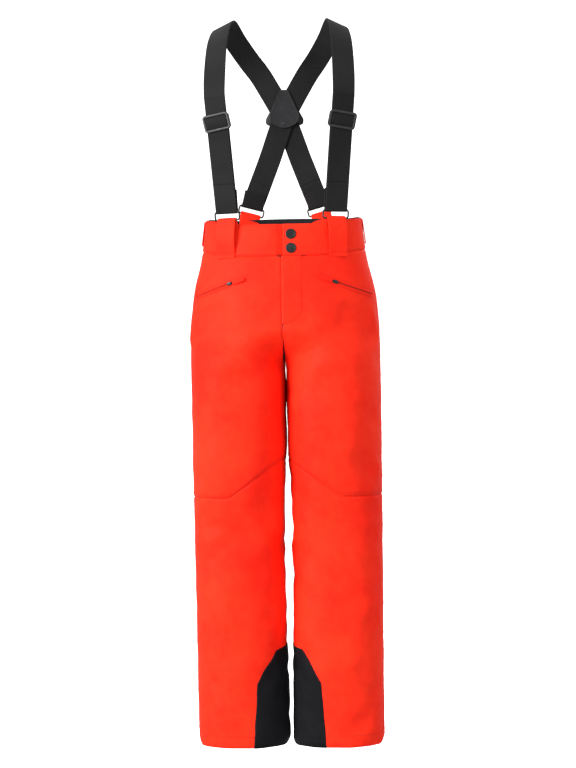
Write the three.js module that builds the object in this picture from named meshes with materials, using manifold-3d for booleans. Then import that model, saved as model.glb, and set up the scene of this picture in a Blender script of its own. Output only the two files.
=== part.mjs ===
// Child's insulated ski pants with crossed elastic shoulder straps, in millimetres, +Z up.
// The wearer faces -Y and the wearer's left is +X. The origin is the centre of the waist opening,
// level with the front top edge of the waistband. Every cloth piece is a thin closed solid that
// follows one shared shell surface, so seams stay matched when a size changes.
import * as THREE from 'three';
import { mergeVertices } from 'three/addons/utils/BufferGeometryUtils.js';
import Module from 'manifold-3d';

const wasm = await Module();
wasm.setup();

// ---- driving dimensions: overall -------------------------------------------------------------
const WAIST_HALF_WIDTH = 125;
const HIP_HALF_WIDTH = 151;
const HEM_HALF_WIDTH = 148;
const WAIST_DEPTH_FRONT = 82;
const WAIST_DEPTH_BACK = 84;
const HIP_DEPTH_FRONT = 100;
const HIP_DEPTH_BACK = 116;
const KNEE_DEPTH = 76;
const HEM_DEPTH = 69;
const BACK_RIM_RISE = 21;
const FRONT_RISE = 245;
const CROTCH_CURVE = 80;
const OUTSEAM = 819;
const SHELL = 3;
const SEAM_GAP = 0.3;
const CURVED_GAP = 0.5;
const LINER_GAP = 1.5;
// the space kept between the two legs at each height
const LEG_GAP = { crotch: 0.6, hipFold: 0.8, kneeTop: 5.2, knee: 7, kneeBottom: 6, hem: 3.2 };
// the share of the widening from waist to hip that is reached at each drop below the rim
const WIDENING = [[50, 0.28], [100, 0.74], [145, 0.95]];
// the share of the hip's extra depth that is left at the foot of the hip fold
const FOLD_FULLNESS = { front: 0.7, back: 0.5 };

// ---- driving dimensions: bending zones of the legs -------------------------------------------
const HIP_FOLD_LENGTH = 100;
const KNEE_DROP = 500;
const KNEE_FOLD_LENGTH = 150;
const KNEE_SEAM_OUTER_DROP = 426;
const KNEE_SEAM_INNER_DROP = 362;
const KNEE_SEAM_CORNER_X = 88;

// ---- driving dimensions: waistband, fly and closure ------------------------------------------
const BAND_HEIGHT = 50;
const BAND = 2.4;
const LAP_SPACE = 2.6;
const LINING_THICKNESS = 1;
const TAB_EDGE_X = 2;
const TAB_FOLD_X = 38;
const UNDERLAP_END_X = 46;
const SNAP_X = 14.5;
const SNAP_DROPS = [16, 38];
const SNAP_RADIUS = 8.2;
const FLY_WIDTH = 29;
const FLY_LENGTH = 106;
const FLY_ZIP_WIDTH = 14;
const FLY_SLIDER_TRAVEL = 78;
const TAPE_DEPTH = 1.8;
const TAPE = 1;

// ---- driving dimensions: pockets -------------------------------------------------------------
const POCKET_INNER = { x: 77, drop: 90 };
const POCKET_OUTER = { x: 139, drop: 110 };
const POCKET_TRACK_WIDTH = 6;
const POCKET_BAG = { depth: 66, margin: 6, rise: 4 };
const SLIDER_LENGTH = 9;
const SLIDER_THICKNESS = 3;
const PULL_LENGTH = 20;
const TRACK_THICKNESS = 1.2;

// ---- driving dimensions: leg ends ------------------------------------------------------------
const GUARD_TOP_DROP = 657;
const GUARD_SHOULDER = { drop: 663, width: 15.5 };
const GUARD_SIDE = { drop: 716, width: 45.6 };
const GUARD_HEM_WIDTH = 54;
const GAITER_TOP_DROP = 690;
const GAITER_BOTTOM_DROP = 790;
const GAITER_HALF_WIDTH = 52;

// ---- driving dimensions: straps --------------------------------------------------------------
const WEBBING = 36;
const WEBBING_THICKNESS = 1.6;
const WIRE = 2.8;
const RING_WIDTH = 44;
const RING_HEIGHT = 15.6;
const RING_CORNER = 3;
const STRIP = 1.8;
const LOOP_WIDTH = 31;
const LOOP_X = 83;
const LOOP_STAND = 5.6;
const RING_TOP = 20.5;
const SIDE_LOOP = { width: 22, top: 3, drop: 36, stand: 3.2, bulge: 2.2, foot: 3.4 };
// how far a sewn strip's ends run into the cloth before they are trimmed, and how high each end is sewn
const SEWN = { reach: 8, height: 4 };
const TAB_WIDTH = 33;
const TAB_LENGTH = 42;
const FRONT_RING_YAW = THREE.MathUtils.degToRad(20);
const BACK_RING_X = 54;
const BACK_RING_TILT = THREE.MathUtils.degToRad(14);
const BACK_RING_YAW = THREE.MathUtils.degToRad(13);
const ADJUSTER = { height: 28, rail: 2, bar: 5, centreBar: 4, depth: 2.2, drop: -159 };
const YOKE = { top: 235.6, shoulder: 195, bottom: 171, topHalf: 6.7, halfWidth: 24.8, earHalf: 32, ear: 180.5 };
const YOKE_PLATE = 1.6;
const CROSSING = { y: 95, z: 190, sideX: 25.7, sideDrop: 70, sideRise: 48 };
const LAYER = 1.4;
const END_LENGTH = 42;

// ---- small geometry tools --------------------------------------------------------------------
const V = (x, y, z) => new THREE.Vector3(x, y, z);
const { lerp, smoothstep } = THREE.MathUtils;
const range = (count) => Array.from({ length: count + 1 }, (_, i) => i / count);
const UP = V(0, 0, 1);

// where the front of the left strap stops being straight, then its route over the shoulder as
// pairs of a point and the direction that the webbing faces
const STRAIGHT_TOP = V(100.5, -92, 200);
const SHOULDER_ROUTE = [
  [V(100.5, -80, 236), V(0.3, -0.87, 0.42)], [V(97, -48, 296), V(0.38, -0.6, 0.7)],
  [V(89, 0, 326), V(0.41, 0, 0.91)], [V(74, 48, 306), V(0.33, 0.6, 0.72)],
  [V(56, 80, 282), V(0.2, 0.87, 0.45)], [V(40, 92, 261.5), V(0.08, 0.97, 0.2)],
];

/** A smooth curve through [height, value] stations, listed from the top down. */
function profile(stations) {
  return (z) => {
    const below = stations.findIndex(([height]) => height <= z);
    if (below === 0) return stations[0][1];
    if (below === -1) return stations.at(-1)[1];
    const [z0, a] = stations[below - 1];
    const [z1, b] = stations[below];
    const slope = (i) => {
      const before = stations[Math.max(i - 1, 0)];
      const after = stations[Math.min(i + 1, stations.length - 1)];
      return (after[1] - before[1]) / (after[0] - before[0]);
    };
    const t = (z - z0) / (z1 - z0);
    const span = z1 - z0;
    const h = [2 * t ** 3 - 3 * t ** 2 + 1, t ** 3 - 2 * t ** 2 + t, -2 * t ** 3 + 3 * t ** 2, t ** 3 - t ** 2];
    return h[0] * a + h[1] * span * slope(below - 1) + h[2] * b + h[3] * span * slope(below);
  };
}

/** Makes a mesh's shared corners one vertex each, leaving positions only. */
function weld(geometry) {
  geometry.deleteAttribute('normal');
  geometry.deleteAttribute('uv');
  return mergeVertices(geometry, 1e-4);
}

/** Joins equal-length outlines into one closed solid. An outline runs out along one face and back. */
function loft(outlines, closed = false) {
  const size = outlines[0].length;
  const at = (ring, k) => (ring % outlines.length) * size + (k % size);
  const index = [];
  const rings = closed ? outlines.length : outlines.length - 1;
  for (let ring = 0; ring < rings; ring++) {
    for (let k = 0; k < size; k++) {
      index.push(at(ring, k), at(ring + 1, k), at(ring + 1, k + 1));
      index.push(at(ring, k), at(ring + 1, k + 1), at(ring, k + 1));
    }
  }
  if (!closed) {
    const last = outlines.length - 1;
    for (let i = 0; i < size / 2 - 1; i++) {
      const quad = [i, i + 1, size - 2 - i, size - 1 - i];
      for (const [a, b, c] of [[0, 1, 2], [0, 2, 3]]) {
        index.push(at(0, quad[a]), at(0, quad[b]), at(0, quad[c]));
        index.push(at(last, quad[a]), at(last, quad[c]), at(last, quad[b]));
      }
    }
  }
  const points = outlines.flat();
  const volume = index.reduce((sum, _, i) => (i % 3 ? sum
    : sum + points[index[i]].dot(points[index[i + 1]].clone().cross(points[index[i + 2]]))), 0);
  if (volume < 0) index.reverse();
  const geometry = new THREE.BufferGeometry().setFromPoints(points);
  geometry.setIndex(index);
  return geometry;
}

function toManifold(geometry) {
  return new wasm.Manifold(new wasm.Mesh({
    numProp: 3,
    vertProperties: Float32Array.from(geometry.attributes.position.array),
    triVerts: Uint32Array.from(geometry.index.array),
  }));
}

function fromManifold(solid) {
  const { vertProperties, triVerts } = solid.getMesh();
  const geometry = new THREE.BufferGeometry();
  geometry.setAttribute('position', new THREE.BufferAttribute(vertProperties, 3));
  geometry.setIndex(new THREE.BufferAttribute(triVerts, 1));
  return geometry;
}

const cut = (geometry, ...tools) => fromManifold(
  tools.reduce((body, tool) => body.subtract(toManifold(tool)), toManifold(geometry)));
const join = (...parts) => fromManifold(
  parts.map(toManifold).reduce((body, part) => body.add(part)));

/** A box given by its lowest and highest corners. */
function box(low, high) {
  const size = high.clone().sub(low);
  const middle = high.clone().add(low).multiplyScalar(0.5);
  return weld(new THREE.BoxGeometry(size.x, size.y, size.z).translate(middle.x, middle.y, middle.z));
}

/** A matrix that puts local x, y and z along side, up and out, at a point. */
function placed(at, side, up, out) {
  return new THREE.Matrix4().makeBasis(side, up, out).setPosition(at);
}

/** A flat band swept along frames of { at, side, out }. */
function ribbon(frames, width, thickness, closed = false) {
  return loft(frames.map(({ at, side, out }) => {
    const corner = (a, b) => at.clone().addScaledVector(side, a * width / 2)
      .addScaledVector(out, b * thickness / 2);
    return [corner(-1, 1), corner(1, 1), corner(1, -1), corner(-1, -1)];
  }), closed);
}

// ---- the shell surface -----------------------------------------------------------------------
const BLEND_TOP = -(FRONT_RISE - CROTCH_CURVE);
const CROTCH = -FRONT_RISE;
const HIP_FOLD_BOTTOM = CROTCH - HIP_FOLD_LENGTH;
const KNEE_TOP = -(KNEE_DROP - KNEE_FOLD_LENGTH / 2);
const KNEE_BOTTOM = -(KNEE_DROP + KNEE_FOLD_LENGTH / 2);
const HEM = -OUTSEAM;
const ROUNDNESS = 2.3;
// keeps the front and the seat full where one trunk divides into two legs
const CROTCH_FULLNESS = 0.12;

const halfWidth = profile([
  [BACK_RIM_RISE, WAIST_HALF_WIDTH], [0, WAIST_HALF_WIDTH],
  ...WIDENING.map(([drop, share]) => [-drop, lerp(WAIST_HALF_WIDTH, HIP_HALF_WIDTH, share)]),
  [BLEND_TOP, HIP_HALF_WIDTH], [HIP_FOLD_BOTTOM, HIP_HALF_WIDTH], [HEM, HEM_HALF_WIDTH],
]);
const depthProfile = (waist, hip, fullness) => profile([
  [BACK_RIM_RISE, waist], [0, waist], [BLEND_TOP, hip],
  [HIP_FOLD_BOTTOM, lerp(KNEE_DEPTH, hip, fullness)], [-KNEE_DROP, KNEE_DEPTH], [HEM, HEM_DEPTH],
]);
const frontDepth = depthProfile(WAIST_DEPTH_FRONT, HIP_DEPTH_FRONT, FOLD_FULLNESS.front);
const backDepth = depthProfile(WAIST_DEPTH_BACK, HIP_DEPTH_BACK, FOLD_FULLNESS.back);
const innerGap = profile([
  [CROTCH, LEG_GAP.crotch], [HIP_FOLD_BOTTOM, LEG_GAP.hipFold], [KNEE_TOP, LEG_GAP.kneeTop],
  [-KNEE_DROP, LEG_GAP.knee], [KNEE_BOTTOM, LEG_GAP.kneeBottom], [HEM, LEG_GAP.hem],
]);

const legShare = (z) => 1 - smoothstep(z, CROTCH, BLEND_TOP);
const power = (value) => Math.sign(value) * Math.abs(value) ** (2 / ROUNDNESS);

/**
 * A point of the shell. q runs from the centre seam or inseam, at 0, to the side seam, at 1, and is
 * negative on the wearer's right. face is -1 in front and 1 behind. inset moves it inwards.
 */
function shellPoint(q, face, z, inset = 0) {
  const u = Math.abs(q);
  const depth = (face < 0 ? frontDepth(z) : backDepth(z)) - inset;
  const width = halfWidth(z) - inset;
  const share = legShare(z);
  const trunkAngle = u * Math.PI / 2;
  const x0 = width * power(Math.sin(trunkAngle));
  const y0 = depth * power(Math.cos(trunkAngle));
  const gap = innerGap(z) + inset;
  const radius = (width - gap) / 2;
  const legAngle = u * Math.PI;
  const x1 = gap + radius * (1 - power(Math.cos(legAngle)));
  const y1 = depth * power(Math.sin(legAngle));
  const fullness = 1 + CROTCH_FULLNESS * 4 * share * (1 - share) * Math.sin(legAngle);
  return V(Math.sign(q || 1) * lerp(x0, x1, share), face * fullness * lerp(y0, y1, share), z);
}

/** The shell's q at a distance x from the centre, above the leg split. */
const trunkQ = (x, z, inset = 0) => Math.sign(x) * Math.asin(
  (Math.abs(x) / (halfWidth(z) - inset)) ** (ROUNDNESS / 2)) * 2 / Math.PI;

/** The shell's u at a width measured outwards from the inseam, below the leg split. */
function legU(width, z) {
  const radius = (halfWidth(z) - innerGap(z)) / 2;
  const cosine = 1 - width / radius;
  return Math.acos(Math.sign(cosine) * Math.abs(cosine) ** (ROUNDNESS / 2)) / Math.PI;
}

/** The waistband's top edge: level in front and rising towards the back. */
function rimHeight(q, face) {
  const toBack = (1 + face * power(Math.cos(Math.abs(q) * Math.PI / 2))) / 2;
  return BACK_RIM_RISE * toBack ** 1.8;
}
const bandBottom = (q, face) => rimHeight(q, face) - BAND_HEIGHT;

/** A frame on the shell: side runs outwards, up runs up the cloth and out leaves it. */
function shellFrame(x, z, inset = 0) {
  const at = shellPoint(trunkQ(x, z), -1, z, inset);
  const step = 1;
  const side = shellPoint(trunkQ(x + step, z), -1, z, inset).sub(shellPoint(trunkQ(x - step, z), -1, z, inset));
  const up = shellPoint(trunkQ(x, z + step), -1, z + step, inset)
    .sub(shellPoint(trunkQ(x, z - step), -1, z - step, inset));
  const out = side.clone().cross(up).normalize();
  return { at, side: side.normalize(), up: out.clone().cross(side).normalize(), out };
}

// ---- cloth panels ----------------------------------------------------------------------------
const NEAR_ZERO = 1e-6;

/** A cloth point on one half, held clear of the centre plane and, with a face, of the side seam. */
function cloth(side, face, u, z, inset, clearOfSeam) {
  const p = shellPoint(side * Math.max(u, NEAR_ZERO), face, z, inset);
  p.x = side * Math.max(side * p.x, SEAM_GAP / 2);
  if (clearOfSeam) p.y = face * Math.max(face * p.y, SEAM_GAP / 2);
  return p;
}

/** One cloth piece on one half of one face. spot(across, down) gives its { u, z }. */
function panel(side, face, columns, rows, spot, insets = [0, SHELL]) {
  return loft(rows.map((down) => {
    const row = (inset) => range(columns).map((across) => {
      const { u, z } = spot(across, down);
      return cloth(side, face, u, z, inset, true);
    });
    return [...row(insets[0]), ...row(insets[1]).reverse()];
  }));
}

/** A tube of cloth round one leg between two edges given by (face, u). */
function legTube(side, columns, rows, top, bottom, insets = () => [0, SHELL]) {
  const steps = range(columns).slice(0, -1);
  const around = [...steps.map((u) => [-1, u]), ...steps.map((u) => [1, 1 - u])];
  return loft(around.map(([face, u]) => {
    const column = (layer) => rows.map((down) => (
      cloth(side, face, u, lerp(top(face, u), bottom(face, u), down), insets(down)[layer], false)));
    return [...column(0), ...column(1).reverse()];
  }), true);
}

const TRUNK_ROWS = [0, 0.18, 0.36, 0.54, 0.72, 0.79, 0.86, 0.91, 0.96, 1];
const LEG_COLUMNS = 10;

const trunkPanel = (side, face) => panel(side, face, LEG_COLUMNS, TRUNK_ROWS, (across, down) => ({
  u: across,
  z: lerp(bandBottom(across, face) - CURVED_GAP, CROTCH, down),
}));

/** The seam over the knee: level on the outer side, then rising to the inseam. */
function kneeSeam(face, u) {
  const x = Math.abs(shellPoint(Math.max(u, NEAR_ZERO), face, -KNEE_SEAM_OUTER_DROP).x);
  const corner = face < 0 ? KNEE_SEAM_CORNER_X : KNEE_SEAM_CORNER_X / 2;
  return -lerp(KNEE_SEAM_INNER_DROP, KNEE_SEAM_OUTER_DROP, Math.min(x / corner, 1));
}

const hipFold = (side) => legTube(side, LEG_COLUMNS, range(3), () => CROTCH - SEAM_GAP, () => HIP_FOLD_BOTTOM);
const thigh = (side) => legTube(side, LEG_COLUMNS, range(2), () => HIP_FOLD_BOTTOM - SEAM_GAP, kneeSeam);
const knee = (side, face) => panel(side, face, LEG_COLUMNS, range(4), (across, down) => ({
  u: across,
  z: lerp(kneeSeam(face, across) - SEAM_GAP, KNEE_BOTTOM, down),
}));

/** The scuff guard's edge, as a width from the inseam at each height. */
const GUARD_EDGE = [
  [-GUARD_TOP_DROP, 2], [-GUARD_SHOULDER.drop, GUARD_SHOULDER.width],
  [-GUARD_SIDE.drop, GUARD_SIDE.width], [HEM, GUARD_HEM_WIDTH],
];
const GUARD_HEIGHTS = [...GUARD_EDGE.slice(0, 3).map(([z]) => z), lerp(-GUARD_SIDE.drop, HEM, 0.5), HEM];
function guardWidth(z) {
  const below = Math.max(GUARD_EDGE.findIndex(([height]) => height <= z), 1);
  const [[z0, a], [z1, b]] = [GUARD_EDGE[below - 1], GUARD_EDGE[below]];
  return lerp(a, b, (z - z0) / (z1 - z0));
}

function shin(side, face) {
  const plain = [KNEE_BOTTOM - SEAM_GAP, lerp(KNEE_BOTTOM, -GUARD_TOP_DROP, 0.5), -GUARD_TOP_DROP + 1];
  const heights = [...plain, ...GUARD_HEIGHTS];
  return panel(side, face, LEG_COLUMNS, heights, (across, z) => ({
    u: plain.includes(z) ? across : lerp(legU(guardWidth(z) + SEAM_GAP, z), 1, across),
    z,
  }));
}

function scuffGuard(side) {
  const columns = 5;
  return loft(GUARD_HEIGHTS.map((z) => {
    const edge = legU(guardWidth(z) - SEAM_GAP, z);
    const row = (inset) => [
      ...range(columns).map((t) => cloth(side, -1, edge * (1 - t), z, inset, false)),
      ...range(columns).slice(1).map((t) => cloth(side, 1, edge * t, z, inset, false)),
    ];
    return [...row(0), ...row(SHELL).reverse()];
  }));
}

function gaiter(side) {
  const legHalfWidth = (HEM_HALF_WIDTH - innerGap(HEM)) / 2;
  const tuck = legHalfWidth - GAITER_HALF_WIDTH;
  return legTube(side, LEG_COLUMNS, range(2), () => -GAITER_TOP_DROP, () => -GAITER_BOTTOM_DROP, (down) => {
    const outer = lerp(SHELL + 3 * LINER_GAP, tuck, down);
    return [outer, outer + SHELL / 2];
  });
}

// ---- waistband, closure and fly --------------------------------------------------------------
/** A length of waistband through stops [q, face], at layer(q) below the shell surface. */
function bandStrip(stops, layer, thickness, trim = 0) {
  return loft(stops.map(([q, face]) => {
    const inset = layer(q);
    const corner = (z, depth) => {
      const p = shellPoint(q, face, z, depth);
      return V(p.x, face * Math.max(face * p.y, SEAM_GAP / 2), z);
    };
    const top = rimHeight(q, face) - trim;
    const bottom = bandBottom(q, face) + trim;
    return [corner(top, inset), corner(bottom, inset),
      corner(bottom, inset + thickness), corner(top, inset + thickness)];
  }));
}

const frontStop = (x) => [trunkQ(x, 0), -1];
const UNDERLAP = BAND + LAP_SPACE;
const outerStops = (from, to, count) => range(count).map((t) => [lerp(from, to, t), -1]);

const bandFrontRight = () => bandStrip([
  ...outerStops(-1, trunkQ(-14, 0), 7), ...[-8, TAB_EDGE_X - 3, 12, 24, 35, UNDERLAP_END_X].map(frontStop),
], (q) => UNDERLAP * smoothstep(q, trunkQ(-14, 0), trunkQ(TAB_EDGE_X - 3, 0)), BAND);
const bandFrontLeft = () => bandStrip(outerStops(trunkQ(TAB_FOLD_X + SEAM_GAP, 0), 1, 6), () => 0, BAND);
const closureTab = () => bandStrip(
  outerStops(trunkQ(TAB_EDGE_X, 0), trunkQ(TAB_FOLD_X - SEAM_GAP, 0), 4), () => 0, BAND);
const backStops = range(16).map((t) => [lerp(-1, 1, t), 1]);
const bandBack = () => bandStrip(backStops, () => 0, BAND);
const bandLining = () => bandStrip(backStops.slice(1, -1), () => BAND + SEAM_GAP, LINING_THICKNESS, SEAM_GAP);

/** A disc turned about its own axis and seated on a frame, its flat back on the frame's point. */
function disc(frame, outline, lift) {
  const turned = new THREE.LatheGeometry(outline.map(([r, h]) => new THREE.Vector2(r, h)), 20);
  const at = frame.at.clone().addScaledVector(frame.out, lift);
  const back = frame.side.clone().negate();
  return weld(turned).applyMatrix4(new THREE.Matrix4().makeBasis(back, frame.out, frame.up).setPosition(at));
}

const SNAP_SAG = 0.9;
const snapCap = (drop) => disc(shellFrame(SNAP_X, -drop), [
  [0, 0], [SNAP_RADIUS, 0], [SNAP_RADIUS, 0.9], [SNAP_RADIUS - 1, 1.8], [SNAP_RADIUS - 3, 1.4], [0, 1.4],
], SEAM_GAP);
const snapStud = (drop) => disc(shellFrame(SNAP_X, -drop, UNDERLAP), [
  [0, 0], [SNAP_RADIUS / 2, 0], [SNAP_RADIUS / 2, LAP_SPACE - SNAP_SAG], [0, LAP_SPACE - SNAP_SAG],
], SEAM_GAP);

const FLY_TOP = -(BAND_HEIGHT + CURVED_GAP);
const FLY_BOTTOM = FLY_TOP - FLY_LENGTH;
const FLY_CENTRE_X = TAB_EDGE_X + FLY_WIDTH / 2;
const FLY_ZIP_TOP = FLY_TOP - 6;
const FLY_ZIP_BOTTOM = FLY_ZIP_TOP - FLY_SLIDER_TRAVEL - SLIDER_LENGTH - 2;
const onFront = (x, z, inset) => shellPoint(trunkQ(x, z, inset), -1, z, inset);

/** The stitched fly flap: straight down, then curving in to the centre seam. */
function flyFlap() {
  const curve = FLY_WIDTH;
  const heights = [FLY_TOP, lerp(FLY_TOP, FLY_BOTTOM + curve, 0.5), FLY_BOTTOM + curve,
    ...[0.3, 0.6, 0.85, 0.97].map((t) => FLY_BOTTOM + curve * (1 - t))];
  return loft(heights.map((z) => {
    const t = Math.max((FLY_BOTTOM + curve - z) / curve, 0);
    const width = 2 + (FLY_WIDTH - 2) * Math.sqrt(1 - t * t);
    const row = (inset) => range(4).map((s) => onFront(TAB_EDGE_X + width * s, z, inset));
    return [...row(-SEAM_GAP - BAND / 2), ...row(-SEAM_GAP).reverse()];
  }));
}

const flyTop = onFront(FLY_CENTRE_X, FLY_ZIP_TOP, 0);
const flyBottom = onFront(FLY_CENTRE_X, FLY_ZIP_BOTTOM, 0);
const flyUp = flyTop.clone().sub(flyBottom).normalize();
const flySide = V(1, 0, 0).addScaledVector(flyUp, -flyUp.x).normalize();
const flyOut = flySide.clone().cross(flyUp);
const flyPoint = (along, depth) => flyTop.clone().addScaledVector(flyUp, -along).addScaledVector(flyOut, -depth);
const flyBar = (start, end, depth, width, thickness) => ribbon(
  [start, end].map((along) => ({ at: flyPoint(along, depth), side: flySide, out: flyOut })), width, thickness);
const FLY_ZIP_LENGTH = FLY_ZIP_TOP - FLY_ZIP_BOTTOM;
const flyWindow = () => flyBar(-1, FLY_ZIP_LENGTH + 1, 0, FLY_ZIP_WIDTH + 2 * SEAM_GAP, 6 * SHELL);
const flyTape = () => flyBar(0, FLY_ZIP_LENGTH, TAPE_DEPTH, FLY_ZIP_WIDTH, TAPE);
const flySlider = () => flyBar(1, 1 + SLIDER_LENGTH,
  TAPE_DEPTH + TAPE / 2 + SEAM_GAP + SLIDER_THICKNESS / 2, FLY_ZIP_WIDTH / 2, SLIDER_THICKNESS);

// ---- pockets, made on the wearer's left ------------------------------------------------------
/** The circle through three points: centre, axis, radius and the angle from the first to the last. */
function circleThrough(a, b, c) {
  const ab = b.clone().sub(a);
  const ac = c.clone().sub(a);
  const normal = ab.clone().cross(ac);
  const toCentre = normal.clone().cross(ab).multiplyScalar(ac.lengthSq())
    .add(ac.clone().cross(normal).multiplyScalar(ab.lengthSq())).divideScalar(2 * normal.lengthSq());
  const centre = a.clone().add(toCentre);
  const axis = normal.normalize();
  const angle = a.clone().sub(centre).angleTo(c.clone().sub(centre));
  return { centre, axis, radius: toCentre.length(), angle, start: a.clone().sub(centre).normalize() };
}

const pocketMiddleX = (POCKET_INNER.x + POCKET_OUTER.x) / 2 + 6;
const pocketDrop = (x) => lerp(POCKET_INNER.drop, POCKET_OUTER.drop,
  (x - POCKET_INNER.x) / (POCKET_OUTER.x - POCKET_INNER.x));
const pocketArc = circleThrough(...[POCKET_INNER.x, pocketMiddleX, POCKET_OUTER.x]
  .map((x) => onFront(x, -pocketDrop(x), 0)));

/** Frames along the pocket's zip, from one arc length to another, lifted off the track. */
function pocketFrames(start, end, lift, steps) {
  return range(steps).map((t) => {
    const turn = lerp(start, end, t) / pocketArc.radius;
    const out = pocketArc.start.clone().applyAxisAngle(pocketArc.axis, turn);
    const at = pocketArc.centre.clone().addScaledVector(out, pocketArc.radius + lift);
    return { at, side: pocketArc.axis, out };
  });
}
const POCKET_LENGTH = pocketArc.radius * pocketArc.angle;
const pocketSlot = () => ribbon(
  pocketFrames(-1, POCKET_LENGTH + 1, 0, 8), POCKET_TRACK_WIDTH + 2 * SEAM_GAP, 6 * SHELL);
const pocketTrack = () => ribbon(
  pocketFrames(0, POCKET_LENGTH, -TRACK_THICKNESS, 8), POCKET_TRACK_WIDTH, TRACK_THICKNESS);
const SLIDER_LIFT = -TRACK_THICKNESS / 2 + SEAM_GAP;
const pocketSlider = () => ribbon(
  pocketFrames(1, 1 + SLIDER_LENGTH, SLIDER_LIFT + SLIDER_THICKNESS / 2, 2),
  POCKET_TRACK_WIDTH - 1, SLIDER_THICKNESS);

const [pullFrame] = pocketFrames(1, 1, SLIDER_LIFT + SLIDER_THICKNESS + 1.2, 1);
const pullAlong = pocketArc.axis.clone().cross(pullFrame.out).normalize();
/** The pull lies over the cloth, pointing from the slider towards the centre. */
const pocketPull = () => ribbon([0.6, 0.6 + PULL_LENGTH].map((reach) => ({
  at: pullFrame.at.clone().addScaledVector(pullAlong, -reach), side: pullFrame.side, out: pullFrame.out,
})), POCKET_TRACK_WIDTH, TRACK_THICKNESS);

const pocketBag = () => panel(1, -1, 5, range(4), (across, down) => {
  const x = lerp(POCKET_INNER.x + POCKET_BAG.margin, POCKET_OUTER.x - POCKET_BAG.margin, across);
  const z = lerp(-pocketDrop(x) + POCKET_BAG.rise, -POCKET_OUTER.drop - POCKET_BAG.depth, down);
  return { u: trunkQ(x, z), z };
}, [SHELL + LINER_GAP, SHELL + LINER_GAP + BAND]);

// ---- belt loops, ring links and straps, made on the wearer's left ----------------------------
/** The trunk as one filled solid, a little larger than the cloth, for seating what is sewn on it. */
function trunkForm() {
  const edges = [
    (q, face) => rimHeight(q, face) + SEAM_GAP,
    (q, face) => bandBottom(q, face),
    () => -2 * BAND_HEIGHT,
  ];
  return loft(edges.map((edge) => [-1, 1].flatMap((face) => range(32).map((t) => {
    const q = face * lerp(1, -1, t);
    const p = shellPoint(q, face, edge(q, face), -SEAM_GAP);
    return V(p.x, face * Math.max(face * p.y, SEAM_GAP / 4), p.z);
  }))));
}
const form = trunkForm();

/** A sewn strip: an outline in (out, height) run along the cloth and trimmed to sit on it. */
function sewnStrip(at, out, up, width, outline, hole) {
  const shape = new THREE.Shape(outline);
  if (hole) shape.holes.push(new THREE.Path().absarc(0, 0, hole, 0, 2 * Math.PI));
  const strip = new THREE.ExtrudeGeometry(shape, { depth: width, bevelEnabled: false, curveSegments: 6 });
  strip.translate(0, 0, -width / 2).applyMatrix4(placed(at, out, up, out.clone().cross(up)));
  return cut(weld(strip), form);
}

const TUNNEL = WIRE / 2 + SEAM_GAP;
const FOLD = TUNNEL + WEBBING_THICKNESS;
const foldTop = range(6).map((t) => new THREE.Vector2(
  FOLD * Math.cos(t * Math.PI), FOLD * Math.sin(t * Math.PI)));
const P2 = (x, y) => new THREE.Vector2(x, y);

/** A strip folded over a link's lower bar, sewn to the band at its top and at its foot. */
const hangingStrip = (foot) => {
  const reach = 3 * SEWN.reach;
  const sewnAt = FOLD + 1.4 * SEWN.height;
  return [
    ...foldTop, P2(-FOLD, -FOLD), P2(-reach, -FOLD), P2(-reach, -sewnAt), P2(FOLD - STRIP, -sewnAt),
    P2(FOLD - STRIP, -foot + SEWN.height), P2(-reach, -foot + SEWN.height), P2(-reach, -foot), P2(FOLD, -foot),
  ];
};

const RING_REACH = RING_HEIGHT - WIRE;
const STRAP_LIFT = TUNNEL + WEBBING_THICKNESS / 2;

/** Everything that places one strap end: its bar centres and the strap's own directions. */
function strapEnd(strapAt, side, out) {
  const up = out.clone().cross(side).normalize();
  const upper = strapAt.clone().addScaledVector(out, -STRAP_LIFT);
  return { strapAt, side, out, up, upper, lower: upper.clone().addScaledVector(up, -RING_REACH) };
}

const frontOut = V(Math.sin(FRONT_RING_YAW), -Math.cos(FRONT_RING_YAW), 0);
const frontSide = V(Math.cos(FRONT_RING_YAW), Math.sin(FRONT_RING_YAW), 0);
const frontStart = onFront(LOOP_X, -BAND_HEIGHT / 2, 0)
  .addScaledVector(frontOut, LOOP_STAND + STRAP_LIFT).setZ(RING_TOP);
const strapUp = STRAIGHT_TOP.clone().sub(frontStart).normalize();
const strapOut = frontSide.clone().cross(strapUp).normalize();
const frontEnd = strapEnd(frontStart, frontSide, strapOut);

const backOut = V(Math.sin(BACK_RING_YAW), Math.cos(BACK_RING_YAW), 0);
const backSide = V(-Math.cos(BACK_RING_YAW), Math.sin(BACK_RING_YAW), 0)
  .multiplyScalar(Math.cos(BACK_RING_TILT))
  .addScaledVector(UP, -Math.sin(BACK_RING_TILT));
const backSurface = shellPoint(trunkQ(BACK_RING_X, 0), 1, 0, 0);
const backStart = backSurface.clone().addScaledVector(backOut, FOLD + 1 + STRAP_LIFT)
  .setZ(RING_TOP + BACK_RIM_RISE);
const backEnd = strapEnd(backStart, backSide, backOut);

const frontLoop = () => sewnStrip(frontEnd.lower, frontOut, UP, LOOP_WIDTH,
  hangingStrip(frontEnd.lower.z + BAND_HEIGHT + 1), TUNNEL);
const backTab = () => sewnStrip(backEnd.lower, backEnd.out, backEnd.up, TAB_WIDTH, [
  ...foldTop, P2(-FOLD, -TAB_LENGTH), P2(FOLD - STRIP, -TAB_LENGTH), P2(FOLD - STRIP, -FOLD - 2),
  P2(FOLD, -FOLD),
], TUNNEL);

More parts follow.
